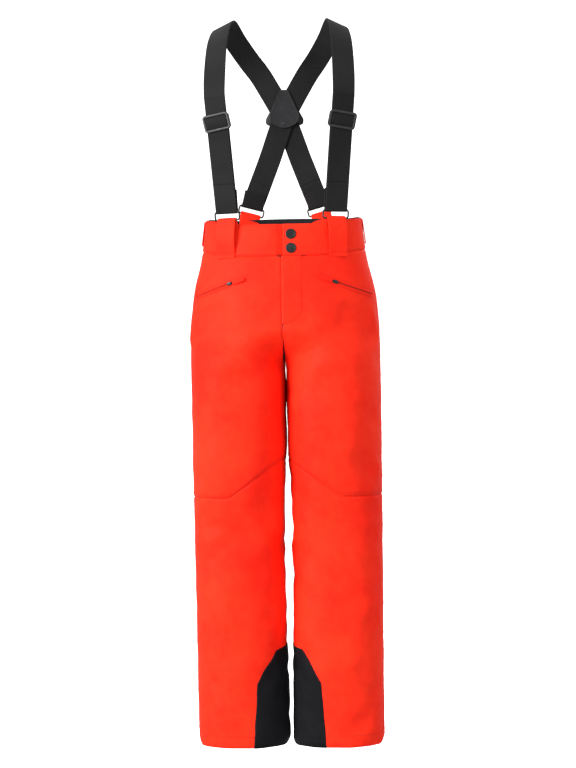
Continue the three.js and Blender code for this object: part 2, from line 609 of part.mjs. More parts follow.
/** The loop over each side seam: sewn at its top and foot and standing clear between them. */
function sideLoop() {
  const { width, top, drop, stand, bulge, foot } = SIDE_LOOP;
  const { reach, height } = SEWN;
  return sewnStrip(V(WAIST_HALF_WIDTH + stand, 0, top), V(1, 0, 0), UP, width, [
    P2(bulge, 0), P2(-reach, 0), P2(-reach, -height), P2(bulge - STRIP, -height),
    P2(foot - STRIP, height - drop), P2(-reach, height - drop), P2(-reach, -drop), P2(foot, -drop),
  ]);
}

/** A round-wire rectangular link between the two bar centres of a strap end. */
function ringLink({ lower, upper, side, up, out }) {
  const middle = lower.clone().lerp(upper, 0.5);
  const half = { w: (RING_WIDTH - WIRE) / 2, h: RING_REACH / 2 };
  const path = [[1, 1], [-1, 1], [-1, -1], [1, -1]].flatMap(([a, b], quarter) => range(2).map((t) => {
    const turn = (quarter + t) * Math.PI / 2;
    const along = a * (half.w - RING_CORNER) + RING_CORNER * Math.cos(turn);
    const rise = b * (half.h - RING_CORNER) + RING_CORNER * Math.sin(turn);
    const radial = side.clone().multiplyScalar(Math.cos(turn)).addScaledVector(up, Math.sin(turn));
    return { at: middle.clone().addScaledVector(side, along).addScaledVector(up, rise), radial };
  }));
  return loft(path.map(({ at, radial }) => range(6).slice(0, -1).map((t) => at.clone()
    .addScaledVector(radial, Math.cos(t * 2 * Math.PI) * WIRE / 2)
    .addScaledVector(out, Math.sin(t * 2 * Math.PI) * WIRE / 2))), true);
}

/** Webbing that comes down outside a link's upper bar, turns under it and runs back up inside. */
function turnback(first, end, tail) {
  const bend = range(6).map((t) => {
    const out = end.out.clone().applyAxisAngle(end.side, t * Math.PI);
    return { at: end.upper.clone().addScaledVector(out, STRAP_LIFT), side: end.side, out };
  });
  const last = bend.at(-1);
  return ribbon([first, ...bend, { ...last, at: last.at.clone().addScaledVector(end.up, tail) }],
    WEBBING, WEBBING_THICKNESS);
}

const ADJUSTER_REACH = (-ADJUSTER.drop - RING_TOP) / strapUp.z;
const onStraight = (reach) => ({
  at: frontStart.clone().addScaledVector(strapUp, reach), side: frontSide, out: strapOut,
});

/** Where the strap passes a point of the crossing, sideways and up from its middle. */
const crossingPoint = (x, rise, layer) => V(x, CROSSING.y + layer, CROSSING.z + rise);

/** The last frame of a strap before its back end, on the other side of the back. */
function backLast() {
  const at = backEnd.strapAt.clone().multiply(V(-1, 1, 1));
  const toward = crossingPoint(-CROSSING.sideX, -CROSSING.sideDrop, 0).sub(at).normalize();
  return { at: at.addScaledVector(toward, END_LENGTH), toward };
}

/** The main strap: up the chest, over the shoulder and across the back to the other side. */
function strap(layer) {
  const { at: lastAt, toward } = backLast();
  const knots = [
    [onStraight(ADJUSTER_REACH + WEBBING).at, strapOut], [STRAIGHT_TOP, strapOut],
    ...SHOULDER_ROUTE,
    [crossingPoint(CROSSING.sideX, CROSSING.sideRise, layer), V(0, 1, 0.02)],
    [crossingPoint(0, 0, layer), V(0, 1, 0)],
    [crossingPoint(-CROSSING.sideX, -CROSSING.sideDrop, layer), V(0, 1, 0)],
    [lastAt, V(0, 1, 0)],
  ];
  const route = new THREE.CatmullRomCurve3(knots.map(([at]) => at));
  const facing = new THREE.CatmullRomCurve3(knots.map(([, out]) => out));
  const perKnot = 3;
  const steps = (knots.length - 1) * perKnot;
  const curved = range(steps).slice(perKnot).map((t) => {
    const along = route.getTangent(t);
    const side = along.clone().cross(facing.getPoint(t)).normalize();
    return { at: route.getPoint(t), side, out: side.clone().cross(along).normalize() };
  });
  return { frames: [onStraight(END_LENGTH), ...curved], last: curved.at(-1), toward };
}

const strapSolid = (layer) => ribbon(strap(layer).frames, WEBBING, WEBBING_THICKNESS);
const frontStrapEnd = () => turnback(onStraight(END_LENGTH - SEAM_GAP), frontEnd, ADJUSTER_REACH - 2);

/** Made on the wearer's left back: the end of the strap that comes from the right shoulder. */
function backStrapEnd(layer) {
  const { last, toward } = strap(layer);
  const flip = V(-1, 1, 1);
  const side = last.side.clone().multiply(flip).negate();
  const first = {
    at: last.at.clone().addScaledVector(toward, -SEAM_GAP).multiply(flip),
    side,
    out: last.out.clone().multiply(flip),
  };
  if (side.dot(backEnd.side) < 0) first.side.negate();
  return turnback(first, backEnd, END_LENGTH * 0.6);
}

/** The three-bar adjuster: the webbing runs behind its outer bars and over its centre bar. */
function adjuster() {
  const { height, rail, bar, centreBar, depth } = ADJUSTER;
  const inner = WEBBING / 2 + SEAM_GAP + 0.2;
  const near = WEBBING_THICKNESS / 2 + SEAM_GAP;
  const bars = [
    box(V(-inner - rail, height / 2 - bar, near), V(inner + rail, height / 2, near + depth)),
    box(V(-inner - rail, -height / 2, near), V(inner + rail, -height / 2 + bar, near + depth)),
    box(V(-inner - rail, -centreBar / 2, -near - depth), V(inner + rail, centreBar / 2, -near)),
    ...[-inner - rail, inner].map((x) => box(
      V(x, -height / 2, -near - depth), V(x + rail, height / 2, near + depth))),
  ];
  const { at } = onStraight(ADJUSTER_REACH);
  return join(...bars).applyMatrix4(placed(at, frontSide, strapUp, strapOut));
}

/** One cross-back plate: a triangle with its point up and a curved lower edge. */
function yokePlate(y, half, sideZ) {
  const shape = new THREE.Shape();
  shape.moveTo(-YOKE.topHalf, YOKE.top);
  shape.lineTo(-half, sideZ);
  shape.quadraticCurveTo(0, 2 * YOKE.bottom - sideZ, half, sideZ);
  shape.lineTo(YOKE.topHalf, YOKE.top);
  const plate = new THREE.ExtrudeGeometry(shape, { depth: YOKE_PLATE, bevelEnabled: false, curveSegments: 8 });
  return weld(plate).applyMatrix4(placed(V(0, y, 0), V(1, 0, 0), UP, V(0, -1, 0)));
}
const YOKE_STAND = LAYER + WEBBING_THICKNESS / 2 + 1;

// ---- the assembly ----------------------------------------------------------------------------
const material = (color, roughness, metalness = 0) => (
  new THREE.MeshStandardMaterial({ color, roughness, metalness }));
const SHELL_CLOTH = material(0xf23a1c, 0.75);
const SHELL_TRIM = material(0xe8341a, 0.7);
const BLACK_CLOTH = material(0x1c1b1d, 0.85);
const WEB = material(0x232223, 0.9);
const LINING = material(0x201f22, 0.9);
const HARDWARE = material(0x161617, 0.45);
const WIRE_METAL = material(0x1b1b1c, 0.4, 0.6);

const pants = new THREE.Group();
pants.name = 'ski_pants';

function add(name, geometry, look) {
  const mesh = new THREE.Mesh(geometry, look);
  mesh.name = name;
  pants.add(mesh);
}

/** The same solid on the other side of the centre plane. */
function mirrored(geometry) {
  const copy = geometry.clone().applyMatrix4(new THREE.Matrix4().makeScale(-1, 1, 1));
  copy.setIndex([...copy.index.array].reverse());
  return copy;
}

function addPair(name, geometry, look) {
  add(`${name}_left`, geometry, look);
  add(`${name}_right`, mirrored(geometry), look);
}

const leftFront = cut(trunkPanel(1, -1), pocketSlot());
add('front_panel_left', cut(leftFront, flyWindow()), SHELL_CLOTH);
add('front_panel_right', mirrored(leftFront), SHELL_CLOTH);
addPair('seat_panel', trunkPanel(1, 1), SHELL_CLOTH);
addPair('hip_fold', hipFold(1), SHELL_CLOTH);
addPair('thigh', thigh(1), SHELL_CLOTH);
addPair('front_knee', knee(1, -1), SHELL_CLOTH);
addPair('back_knee', knee(1, 1), SHELL_CLOTH);
addPair('front_shin', shin(1, -1), SHELL_CLOTH);
addPair('back_calf', shin(1, 1), SHELL_CLOTH);
addPair('scuff_guard', scuffGuard(1), BLACK_CLOTH);
addPair('snow_gaiter', gaiter(1), LINING);

add('waistband_front_right', bandFrontRight(), SHELL_CLOTH);
add('waistband_front_left', bandFrontLeft(), SHELL_CLOTH);
add('waistband_back', bandBack(), SHELL_CLOTH);
add('waistband_lining', bandLining(), LINING);
add('closure_tab', closureTab(), SHELL_CLOTH);
['upper', 'lower'].forEach((name, i) => {
  add(`snap_cap_${name}`, snapCap(SNAP_DROPS[i]), HARDWARE);
  add(`snap_stud_${name}`, snapStud(SNAP_DROPS[i]), HARDWARE);
});
add('fly_flap', flyFlap(), SHELL_CLOTH);
add('fly_zip_tape', flyTape(), BLACK_CLOTH);
add('fly_zip_slider', flySlider(), HARDWARE);

addPair('pocket_zip', pocketTrack(), SHELL_TRIM);
addPair('pocket_slider', pocketSlider(), HARDWARE);
addPair('pocket_pull', pocketPull(), SHELL_TRIM);
addPair('pocket_bag', pocketBag(), LINING);

addPair('belt_loop_front', frontLoop(), SHELL_CLOTH);
addPair('belt_loop_side', sideLoop(), SHELL_CLOTH);
addPair('back_tab', backTab(), SHELL_CLOTH);
addPair('front_ring', ringLink(frontEnd), WIRE_METAL);
addPair('back_ring', ringLink(backEnd), WIRE_METAL);

add('strap_left', strapSolid(-LAYER), WEB);
add('strap_right', mirrored(strapSolid(LAYER)), WEB);
addPair('strap_front_end', frontStrapEnd(), WEB);
add('strap_back_end_left', backStrapEnd(LAYER), WEB);
add('strap_back_end_right', mirrored(backStrapEnd(-LAYER)), WEB);
addPair('strap_adjuster', adjuster(), HARDWARE);
add('yoke_inner', yokePlate(CROSSING.y - YOKE_STAND, YOKE.halfWidth, YOKE.shoulder), HARDWARE);
add('yoke_outer', yokePlate(CROSSING.y + YOKE_STAND + YOKE_PLATE, YOKE.earHalf, YOKE.ear), HARDWARE);

pants.userData.lines = {
  frontRing: frontEnd, backRing: backEnd, strapUp, flyUp, pocketArc,
  pullAt: pullFrame.at, pullAxis: pullFrame.side, pullAlong, tabFold: [0, -BAND_HEIGHT].map((z) => shellPoint(trunkQ(TAB_FOLD_X, 0), -1, z)),
};

export default pants;
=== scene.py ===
"""A child's insulated ski pants with crossed elastic straps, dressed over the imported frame.

Lengths are in millimetres until a mesh is made, then in metres. The wearer faces -Y, and the
wearer's left is +X. Every cloth piece follows one shell surface, so that seams stay matched.
"""

import logging
import math
from dataclasses import dataclass
from enum import Enum, IntEnum
from functools import cached_property
from typing import Callable, Sequence

import bpy
import numpy as np
from mathutils import Matrix, Vector


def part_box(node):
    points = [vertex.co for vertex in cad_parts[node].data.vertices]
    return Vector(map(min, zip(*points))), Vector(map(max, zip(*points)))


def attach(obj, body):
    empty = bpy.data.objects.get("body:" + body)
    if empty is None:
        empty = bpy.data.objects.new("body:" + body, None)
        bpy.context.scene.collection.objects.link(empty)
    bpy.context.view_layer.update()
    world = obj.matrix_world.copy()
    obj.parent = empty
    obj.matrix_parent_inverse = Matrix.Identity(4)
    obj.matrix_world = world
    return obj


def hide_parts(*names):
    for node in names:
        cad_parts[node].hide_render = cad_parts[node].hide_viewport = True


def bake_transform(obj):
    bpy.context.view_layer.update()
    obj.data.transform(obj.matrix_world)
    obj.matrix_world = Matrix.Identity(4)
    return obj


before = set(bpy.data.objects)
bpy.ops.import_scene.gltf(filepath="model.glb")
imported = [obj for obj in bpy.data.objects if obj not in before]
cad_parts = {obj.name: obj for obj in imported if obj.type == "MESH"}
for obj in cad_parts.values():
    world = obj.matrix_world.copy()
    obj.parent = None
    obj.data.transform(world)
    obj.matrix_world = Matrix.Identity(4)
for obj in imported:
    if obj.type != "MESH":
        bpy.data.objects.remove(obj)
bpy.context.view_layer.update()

Array = np.ndarray
Colour = tuple[float, float, float]
Pair = tuple[float, float]
Piece = bpy.types.Object
log = logging.getLogger("ski_pants")
MM = 0.001
UV_NAME = "cloth"
MIRROR = np.array([-1, 1, 1])
FORWARD = np.array([0.0, -1.0, 0.0])


class Side(IntEnum):
    """The wearer's side, as the sign of X."""

    LEFT = 1
    RIGHT = -1

    @property
    def label(self) -> str:
        """The ending that this side's pieces and bodies have."""
        return "left" if self is Side.LEFT else "right"


class Face(IntEnum):
    """The front or the back of the garment, as the sign of Y."""

    FRONT = -1
    BACK = 1


class Held(Enum):
    HUNG = "hung"


# ---- small geometry tools ----
def lerp(a: float | Array, b: float | Array, t: float | Array) -> float | Array:
    """A value between a and b."""
    return a + (b - a) * t


def smoothstep(x: float | Array, low: float, high: float) -> float | Array:
    """0 below low, 1 above high and smooth between."""
    t = np.clip((x - low) / (high - low), 0, 1)
    return t * t * (3 - 2 * t)


def unit(v: Array) -> Array:
    """Vectors made one long."""
    return v / np.maximum(np.linalg.norm(v, axis=-1, keepdims=True), 1e-9)


def crowded_ends(count: int, crowding: float = 0.8) -> Array:
    """Steps from 0 to 1 that are closer together at both ends.

    Args:
        count: how many steps.
        crowding: 0 for even steps, towards 1 for very close ones at the ends.

    Returns:
        count + 1 values.
    """
    t = np.linspace(0, 1, count + 1)
    return t - crowding * np.sin(2 * np.pi * t) / (2 * np.pi)


def ripple(s: Array, wavelength: float, seed: float) -> Array:
    """An uneven wave of about a wavelength, between about -1 and 1."""
    k = 2 * np.pi / wavelength
    return (
        0.6 * np.sin(k * s + seed)
        + 0.3 * np.sin(0.61 * k * s + 2.1 * seed + 1.3)
        + 0.25 * np.sin(1.73 * k * s + 3.7 * seed)
    )


def turned(v: Array, axis: Array, angle: float) -> Array:
    """A vector turned about a unit axis."""
    return v * math.cos(angle) + np.cross(axis, v) * math.sin(angle) + axis * (axis @ v) * (1 - math.cos(angle))


class Profile:
    """A smooth curve through (height, value) stations, listed from the top down."""

    def __init__(self, *stations: Pair) -> None:
        """Keeps the stations and works out the slope at each."""
        self.z, self.v = np.array(stations, float).T
        before = np.maximum(np.arange(len(self.z)) - 1, 0)
        after = np.minimum(np.arange(len(self.z)) + 1, len(self.z) - 1)
        self.slope = (self.v[after] - self.v[before]) / (self.z[after] - self.z[before])

    def __call__(self, z: float | Array) -> Array:
        """The curve's value at heights z."""
        z = np.clip(z, self.z[-1], self.z[0])
        i = np.clip(np.searchsorted(-self.z, -z), 1, len(self.z) - 1)
        span = self.z[i] - self.z[i - 1]
        t = (z - self.z[i - 1]) / span
        return (
            (2 * t**3 - 3 * t**2 + 1) * self.v[i - 1]
            + (t**3 - 2 * t**2 + t) * span * self.slope[i - 1]
            + (-2 * t**3 + 3 * t**2) * self.v[i]
            + (t**3 - t**2) * span * self.slope[i]
        )


@dataclass
class Solid:
    """A mesh in the making: corners in millimetres, faces, cloth coordinates and finish numbers."""

    points: Array
    faces: list[tuple[int, ...]]
    uv: Array
    looks: list[int]

    def object(self, name: str, *finishes: "Finish") -> Piece:
        """The solid as a Blender object in the object's own frame.

        Args:
            name: the piece's name.
            finishes: the finishes that the faces' numbers stand for.

        Returns:
            The new object, linked to the scene.
        """
        mesh = bpy.data.meshes.new(name)
        mesh.from_pydata((self.points * MM).tolist(), [], self.faces)
        layer = mesh.uv_layers.new(name=UV_NAME)
        loops = np.empty(len(mesh.loops), int)
        mesh.loops.foreach_get("vertex_index", loops)
        layer.data.foreach_set("uv", (self.uv[loops] * MM).astype(np.float32).ravel())
        mesh.polygons.foreach_set("material_index", self.looks)
        mesh.polygons.foreach_set("use_smooth", [True] * len(self.faces))
        for finish in finishes:
            mesh.materials.append(finish.material())
        mesh.validate()
        piece = bpy.data.objects.new(f"{name}_finished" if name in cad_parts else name, mesh)
        bpy.context.scene.collection.objects.link(piece)
        return piece

    def dress(self, name: str, *finishes: "Finish", body: str = "", nodes: Sequence[str] = (), fill: float = 0,
              slot: str = "") -> Piece:
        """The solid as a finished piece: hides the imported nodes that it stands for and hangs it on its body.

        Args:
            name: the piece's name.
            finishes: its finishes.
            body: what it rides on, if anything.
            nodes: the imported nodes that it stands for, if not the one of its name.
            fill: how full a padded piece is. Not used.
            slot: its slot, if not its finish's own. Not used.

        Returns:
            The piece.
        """
        piece = self.object(name, *finishes)
        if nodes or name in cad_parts:
            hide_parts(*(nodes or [name]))
        if body:
            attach(piece, body)
        log.info(piece.name)
        return piece

    def on(self, side: Side) -> "Solid":
        """The solid on one side, from the left one."""
        if side is Side.LEFT:
            return self
        return Solid(self.points * MIRROR, [f[::-1] for f in self.faces], self.uv, self.looks)


def bend(piece: Piece, side: Side, body: str, start: Array, end: Array) -> None:
    """Bakes a piece's transform into its mesh; it bends nothing, and the two places on the wearer's left are worked
    out and dropped.
    """
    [(p * np.array([int(side), 1, 1]) * MM).tolist() for p in (start, end)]
    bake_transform(piece)


def outward_faces(points: Array, faces: list[tuple[int, ...]]) -> list[tuple[int, ...]]:
    """The same faces, all turned over if the solid is inside out."""
    volume = sum(
        points[f[0]] @ np.cross(points[f[k]], points[f[k + 1]]) for f in faces for k in range(1, len(f) - 1)
    )
    return faces if volume > 0 else [f[::-1] for f in faces]


def arc_lengths(grid: Array, axis: int) -> Array:
    """How far each point of a grid is along its row or column, in millimetres."""
    steps = np.linalg.norm(np.diff(grid, axis=axis), axis=-1)
    zero = np.zeros_like(np.take(steps, [0], axis=axis))
    return np.concatenate([zero, np.cumsum(steps, axis=axis)], axis=axis)


def slab(outer: Array, inner: Array, lined: bool = False) -> Solid:
    """A closed sheet between two grids of points.

    Args:
        outer: rows by columns of points on the side that shows.
        inner: the same on the other side.
        lined: gives the inner side the second finish.

    Returns:
        The closed solid.
    """
    rows, cols, _ = outer.shape
    points = np.concatenate([outer.reshape(-1, 3), inner.reshape(-1, 3)])
    half = rows * cols
    across = np.mean(arc_lengths(outer, 1), axis=0)[None, :] * np.ones((rows, 1))
    along = np.mean(arc_lengths(outer, 0), axis=1)[:, None] * np.ones((1, cols))
    uv = np.stack([across, along], -1).reshape(-1, 2)
    index = np.arange(half).reshape(rows, cols)
    a, b, c, d = index[:-1, :-1], index[1:, :-1], index[1:, 1:], index[:-1, 1:]
    front = np.stack([a, b, c, d], -1).reshape(-1, 4)
    rim = np.concatenate([index[:, 0], index[-1, 1:], index[::-1, -1][1:], index[0, ::-1][1:-1]])
    after = np.roll(rim, -1)
    edge = np.stack([rim, rim + half, after + half, after], -1)
    faces = [tuple(f) for f in np.concatenate([front, front[:, ::-1] + half, edge]).tolist()]
    looks = [0] * len(front) + [int(lined)] * len(front) + [0] * len(edge)
    return Solid(points, outward_faces(points, faces), np.concatenate([uv, uv]), looks)


def declare_sheet(grid: Array) -> None:
    """Works out the steps across and down a hung sheet's grid, and keeps nothing: it declares no sheet.

    Args:
        grid: its outer face, from its top down and across.
    """
    across, down = grid[:-1, 1:] - grid[:-1, :-1], grid[1:, :-1] - grid[:-1, :-1]


def tube(sections: Array, closed: bool = False) -> Solid:
    """A solid through closed sections of equal point counts.

    Args:
        sections: count by points by 3.
        closed: joins the last section to the first, instead of capping both.

    Returns:
        The closed solid.
    """
    count, size, _ = sections.shape
    index = np.arange(count * size).reshape(count, size)
    if closed:
        index = np.concatenate([index, index[:1]])
    around = np.concatenate([index, index[:, :1]], axis=1)
    a, b, c, d = around[:-1, :-1], around[1:, :-1], around[1:, 1:], around[:-1, 1:]
    faces = [tuple(f) for f in np.stack([a, b, c, d], -1).reshape(-1, 4).tolist()]
    if not closed:
        faces += [tuple(index[0].tolist()), tuple(index[-1, ::-1].tolist())]
    points = sections.reshape(-1, 3)
    ring = np.linspace(0, 1, size, endpoint=False)[None, :] * np.ones((count, 1))
    girth = np.linalg.norm(np.diff(sections[0], axis=0), axis=-1).sum()
    uv = np.stack([ring * girth, arc_lengths(sections, 0)], -1).reshape(-1, 2)
    return Solid(points, outward_faces(points, faces), uv, [0] * len(faces))


def together(*solids: Solid) -> Solid:
    """Several solids as one mesh."""
    faces, start = [], 0
    for part in solids:
        faces += [tuple(i + start for i in f) for f in part.faces]
        start += len(part.points)
    return Solid(
        np.concatenate([s.points for s in solids]),
        faces,
        np.concatenate([s.uv for s in solids]),
        [n for s in solids for n in s.looks],
    )


def soft_square(count: int, power: float, half: Pair) -> tuple[Array, Array]:
    """The two coordinates round a section that is a circle at power 1 and squarer below."""
    turn = np.linspace(0, 2 * np.pi, count, endpoint=False)
    x, y = (np.sign(v) * np.abs(v) ** power * h for v, h in zip((np.cos(turn), np.sin(turn)), half))
    return x, y


def soft_hoop(middle: Array, ways: tuple[Array, Array, Array], half: Pair, corner: float, steps: int,
              section: tuple[Array, Array]) -> Solid:
    """A rectangular frame with round corners.

    Args:
        middle: its centre.
        ways: the directions across it, up it and out of it.
        half: half its width and height, between the middles of its bars.
        corner: the radius of its corners.
        steps: sections at each corner.
        section: its bar's section, away from the centre and out of the frame.

    Returns:
        The frame.
    """
    side, up, out = ways
    sections = []
    for quarter, (a, b) in enumerate(((1, 1), (-1, 1), (-1, -1), (1, -1))):
        for angle in (quarter + np.linspace(0, 1, steps)) * math.pi / 2:
            radial = side * math.cos(angle) + up * math.sin(angle)
            at = middle + side * a * (half[0] - corner) + up * b * (half[1] - corner) + radial * corner
            sections.append(at + radial * section[0][:, None] + out * section[1][:, None])
    return tube(np.stack(sections), closed=True)


@dataclass
class Frames:
    """Places along a band: points, the direction across it and the direction it faces."""

    at: Array
    side: Array
    out: Array

    def joined(self, other: "Frames") -> "Frames":
        """These places, then the other ones."""
        return Frames(*(np.concatenate([getattr(self, n), getattr(other, n)]) for n in ("at", "side", "out")))

    def mirrored(self) -> "Frames":
        """The same places on the wearer's other side."""
        return Frames(self.at * MIRROR, self.side * -MIRROR, self.out * MIRROR)

    def ribbon(self, width: float, thickness: float, crown: float = 0.0, roll: float = 0.45) -> Solid:
        """A flat band with soft edges, swept along the places.

        Args:
            width: across the band.
            thickness: through the band.
            crown: how far its middle stands above its edges.
            roll: the share of its thickness lost at its very edges.

        Returns:
            The closed solid.
        """
        across = crowded_ends(12)
        place = (across - 0.5) * width
        edge = np.minimum(across, 1 - across) * width
        half = thickness / 2 * (1 - roll * np.exp(-((edge / thickness / 0.45) ** 2)))
        bow = crown * (1 - (2 * across - 1) ** 2)
        base = self.at[:, None] + self.side[:, None] * place[None, :, None]
        out = self.out[:, None]
        return slab(base + out * (bow + half)[None, :, None], base + out * (bow - half)[None, :, None])


def catmull_rom(points: Array, t: Array) -> Array:
    """A centripetal Catmull-Rom curve through points.

    Args:
        points: the points that it passes.
        t: places from 0, the first point, to 1, the last.

    Returns:
        A point for each t.
    """
    padded = np.concatenate([[2 * points[0] - points[1]], points, [2 * points[-1] - points[-2]]])
    place = np.clip(t, 0, 1) * (len(points) - 1)
    i = np.minimum(place.astype(int), len(points) - 2)
    w = (place - i)[:, None]
    p0, p1, p2, p3 = (padded[i + k] for k in range(4))
    gaps = [np.linalg.norm(b - a, axis=-1, keepdims=True) ** 0.5 for a, b in ((p0, p1), (p1, p2), (p2, p3))]
    d0, d1, d2 = (np.maximum(g, 1e-4) for g in gaps)
    m1 = ((p1 - p0) / d0 - (p2 - p0) / (d0 + d1) + (p2 - p1) / d1) * d1
    m2 = ((p2 - p1) / d1 - (p3 - p1) / (d1 + d2) + (p3 - p2) / d2) * d1
    return (
        p1 + m1 * w + (-3 * p1 + 3 * p2 - 2 * m1 - m2) * w**2 + (2 * p1 - 2 * p2 + m1 + m2) * w**3
    )


# ---- shader building ----
class Value:
    """A number that varies over a surface. Sums on it add Math nodes."""

    def __init__(self, graph: "Graph", socket: bpy.types.NodeSocket) -> None:
        """Wraps an output socket."""
        self.graph = graph
        self.socket = socket

    def _math(self, operation: str, *terms: "Value | float") -> "Value":
        """The result of a Math node."""
        return self.graph.node("ShaderNodeMath", {"operation": operation}, *terms)

    def __add__(self, other: "Value | float") -> "Value":
        """self + other."""
        return self._math("ADD", self, other)

    def __sub__(self, other: "Value | float") -> "Value":
        """self - other."""
        return self._math("SUBTRACT", self, other)

    def __mul__(self, other: "Value | float") -> "Value":
        """self * other."""
        return self._math("MULTIPLY", self, other)

    __radd__ = __add__
    __rmul__ = __mul__

    def absolute(self) -> "Value":
        """The size of self."""
        return self._math("ABSOLUTE", self)

    def sine(self) -> "Value":
        """The sine of self."""
        return self._math("SINE", self)

    def between(self, low: float, high: float) -> "Value":
        """0 at low, 1 at high, and limited to that range."""
        settings = {"interpolation_type": "SMOOTHSTEP"}
        return self.graph.node("ShaderNodeMapRange", settings, self, low, high)


class Graph:
    """The nodes of one material."""

    def __init__(self, name: str) -> None:
        """Starts an empty node tree."""
        self.material = bpy.data.materials.new(name)
        self.material.use_nodes = True
        self.tree = self.material.node_tree
        self.tree.nodes.clear()

    def node(self, kind: str, settings: dict, *inputs: object, output: int | str = 0, **named: object) -> Value:
        """Adds any node.

        Args:
            kind: its type.
            settings: its properties, which are set first.
            inputs: values or links for its sockets, in order.
            output: which output is wanted.
            named: values or links for its sockets by name, with _ for a space.

        Returns:
            The wanted output.
        """
        made = self.tree.nodes.new(kind)
        for key, value in settings.items():
            setattr(made, key, value)
        chosen = [(made.inputs[i], value) for i, value in enumerate(inputs)]
        chosen += [(made.inputs[key.replace("_", " ")], value) for key, value in named.items()]
        for socket, value in chosen:
            if isinstance(value, Value):
                self.tree.links.new(value.socket, socket)
            elif value is not None:
                socket.default_value = value
        return Value(self, made.outputs[output])

    def place(self) -> Value:
        """Where a point is in the object's own frame, in metres."""
        return self.node("ShaderNodeTexCoord", {}, output="Object")

    def cloth_place(self) -> tuple[Value, Value]:
        """How far a point is across and along its cloth, in metres."""
        uv = self.node("ShaderNodeUVMap", {"uv_map": UV_NAME})
        split = self.node("ShaderNodeSeparateXYZ", {}, uv)
        return split, Value(self, split.socket.node.outputs[1])

    def noise(self, scale: float, detail: float = 2.0) -> Value:
        """Smooth noise with about scale features a metre, from 0 to 1."""
        return self.node("ShaderNodeTexNoise", {}, Vector=self.place(), Scale=scale, Detail=detail)

    def mix(self, factor: Value, first: Colour, second: Colour) -> Value:
        """A colour between two."""
        made = self.tree.nodes.new("ShaderNodeMix")
        made.data_type = "RGBA"
        self.tree.links.new(factor.socket, made.inputs[0])
        for socket, value in ((made.inputs[6], first), (made.inputs[7], second)):
            if isinstance(value, Value):
                self.tree.links.new(value.socket, socket)
            else:
                socket.default_value = (*value, 1)
        return Value(self, made.outputs[2])

    def bump(self, height: Value, distance: float, strength: float = 1.0, under: Value | None = None) -> Value:
        """A bumped surface direction, over another if one is given."""
        return self.node(
            "ShaderNodeBump", {}, Strength=strength, Distance=distance, Height=height, Normal=under
        )

    def surface(self, constants: dict[str, object], **varying: Value) -> bpy.types.Material:
        """Finishes the material.

        Args:
            constants: Principled sockets that are the same all over.
            varying: Principled sockets that vary, with _ for a space.

        Returns:
            The material.
        """
        shader = self.node("ShaderNodeBsdfPrincipled", {}, **varying)
        for key, value in constants.items():
            shader.socket.node.inputs[key].default_value = value
        end = self.tree.nodes.new("ShaderNodeOutputMaterial")
        self.tree.links.new(shader.socket, end.inputs["Surface"])
        return self.material


class Finish:
    """A named finish whose material is made once."""

    made: dict[str, bpy.types.Material] = {}
    name: str
    slot: str

    def build(self, graph: Graph) -> bpy.types.Material:
        """Makes the material's nodes."""
        raise NotImplementedError

    def material(self) -> bpy.types.Material:
        """The material, made the first time it is asked for."""
        if self.name not in Finish.made:
            Finish.made[self.name] = self.build(Graph(self.name))
        return Finish.made[self.name]


@dataclass(frozen=True)
class WovenCloth(Finish):
    """Woven fabric: fine yarns both ways, slight crinkle, uneven dye and painted shade in the weave's low places."""

    name: str
    slot: str
    colour: Colour
    deep: Colour
    thread: float = 0.0007
    weave_depth: float = 0.00006
    crinkle: float = 0.0006
    roughness: float = 0.62
    sheen: float = 0.04
    sheen_tint: Colour = (1.0, 0.3, 0.12)

    def build(self, graph: Graph) -> bpy.types.Material:
        """Makes the weave, crinkle and dye nodes, and the painted shade that darkens the weave's low places."""
        across, along = graph.cloth_place()
        warp = (across * (math.pi / self.thread)).sine()
        weft = (along * (math.pi / self.thread)).sine()
        weave = (warp * weft).absolute()
        broad = graph.noise(9, 3)
        fine = graph.noise(90, 4)
        dye = (broad * 0.7 + fine * 0.3).between(0.3, 0.7)
        # Painted shade: the weave's low places between the yarns are mixed towards the deep colour. The dye part is
        # random tone.
        dye_and_weave_shade = weave * 0.18 + dye * 0.82
        creases = graph.bump(fine * 0.5 + broad * 0.5, self.crinkle, 0.5)
        return graph.surface(
            {
                "Sheen Weight": self.sheen,
                "Sheen Roughness": 0.45,
                "Sheen Tint": (*self.sheen_tint, 1),
                "Specular IOR Level": 0.07,
            },
            Base_Color=graph.mix(dye_and_weave_shade, self.deep, self.colour),
            Roughness=self.roughness + (fine - 0.5) * 0.16,
            Normal=graph.bump(weave, self.weave_depth, 0.6, creases),
        )


@dataclass(frozen=True)
class RibbedWebbing(Finish):
    """Elastic webbing: cords along its length, fine cross ribs and a little fuzz."""

    name: str
    slot: str
    colour: Colour
    deep: Colour
    cord: float = 0.0019
    rib: float = 0.0009

    def build(self, graph: Graph) -> bpy.types.Material:
        """Makes the cord and rib nodes, whose grooves also darken the colour as painted shade."""
        across, along = graph.cloth_place()
        cords = (across * (math.pi / self.cord)).sine().absolute()
        ribs = (along * (math.pi / self.rib)).sine().absolute()
        fuzz = graph.noise(700, 3)
        wear = graph.noise(14, 3).between(0.35, 0.75)
        # Painted shade: the grooves between cords and ribs are mixed towards the deep colour. The wear patches are
        # random tone.
        tone = cords * 0.35 + ribs * 0.15 + wear * 0.5
        return graph.surface(
            {"Sheen Weight": 0.06, "Sheen Roughness": 0.5, "Specular IOR Level": 0.15},
            Base_Color=graph.mix(tone, self.deep, self.colour),
            Roughness=0.78 + (fuzz - 0.5) * 0.15,
            Normal=graph.bump(cords * 0.6 + ribs * 0.3 + fuzz * 0.25, 0.00025, 0.7),
        )


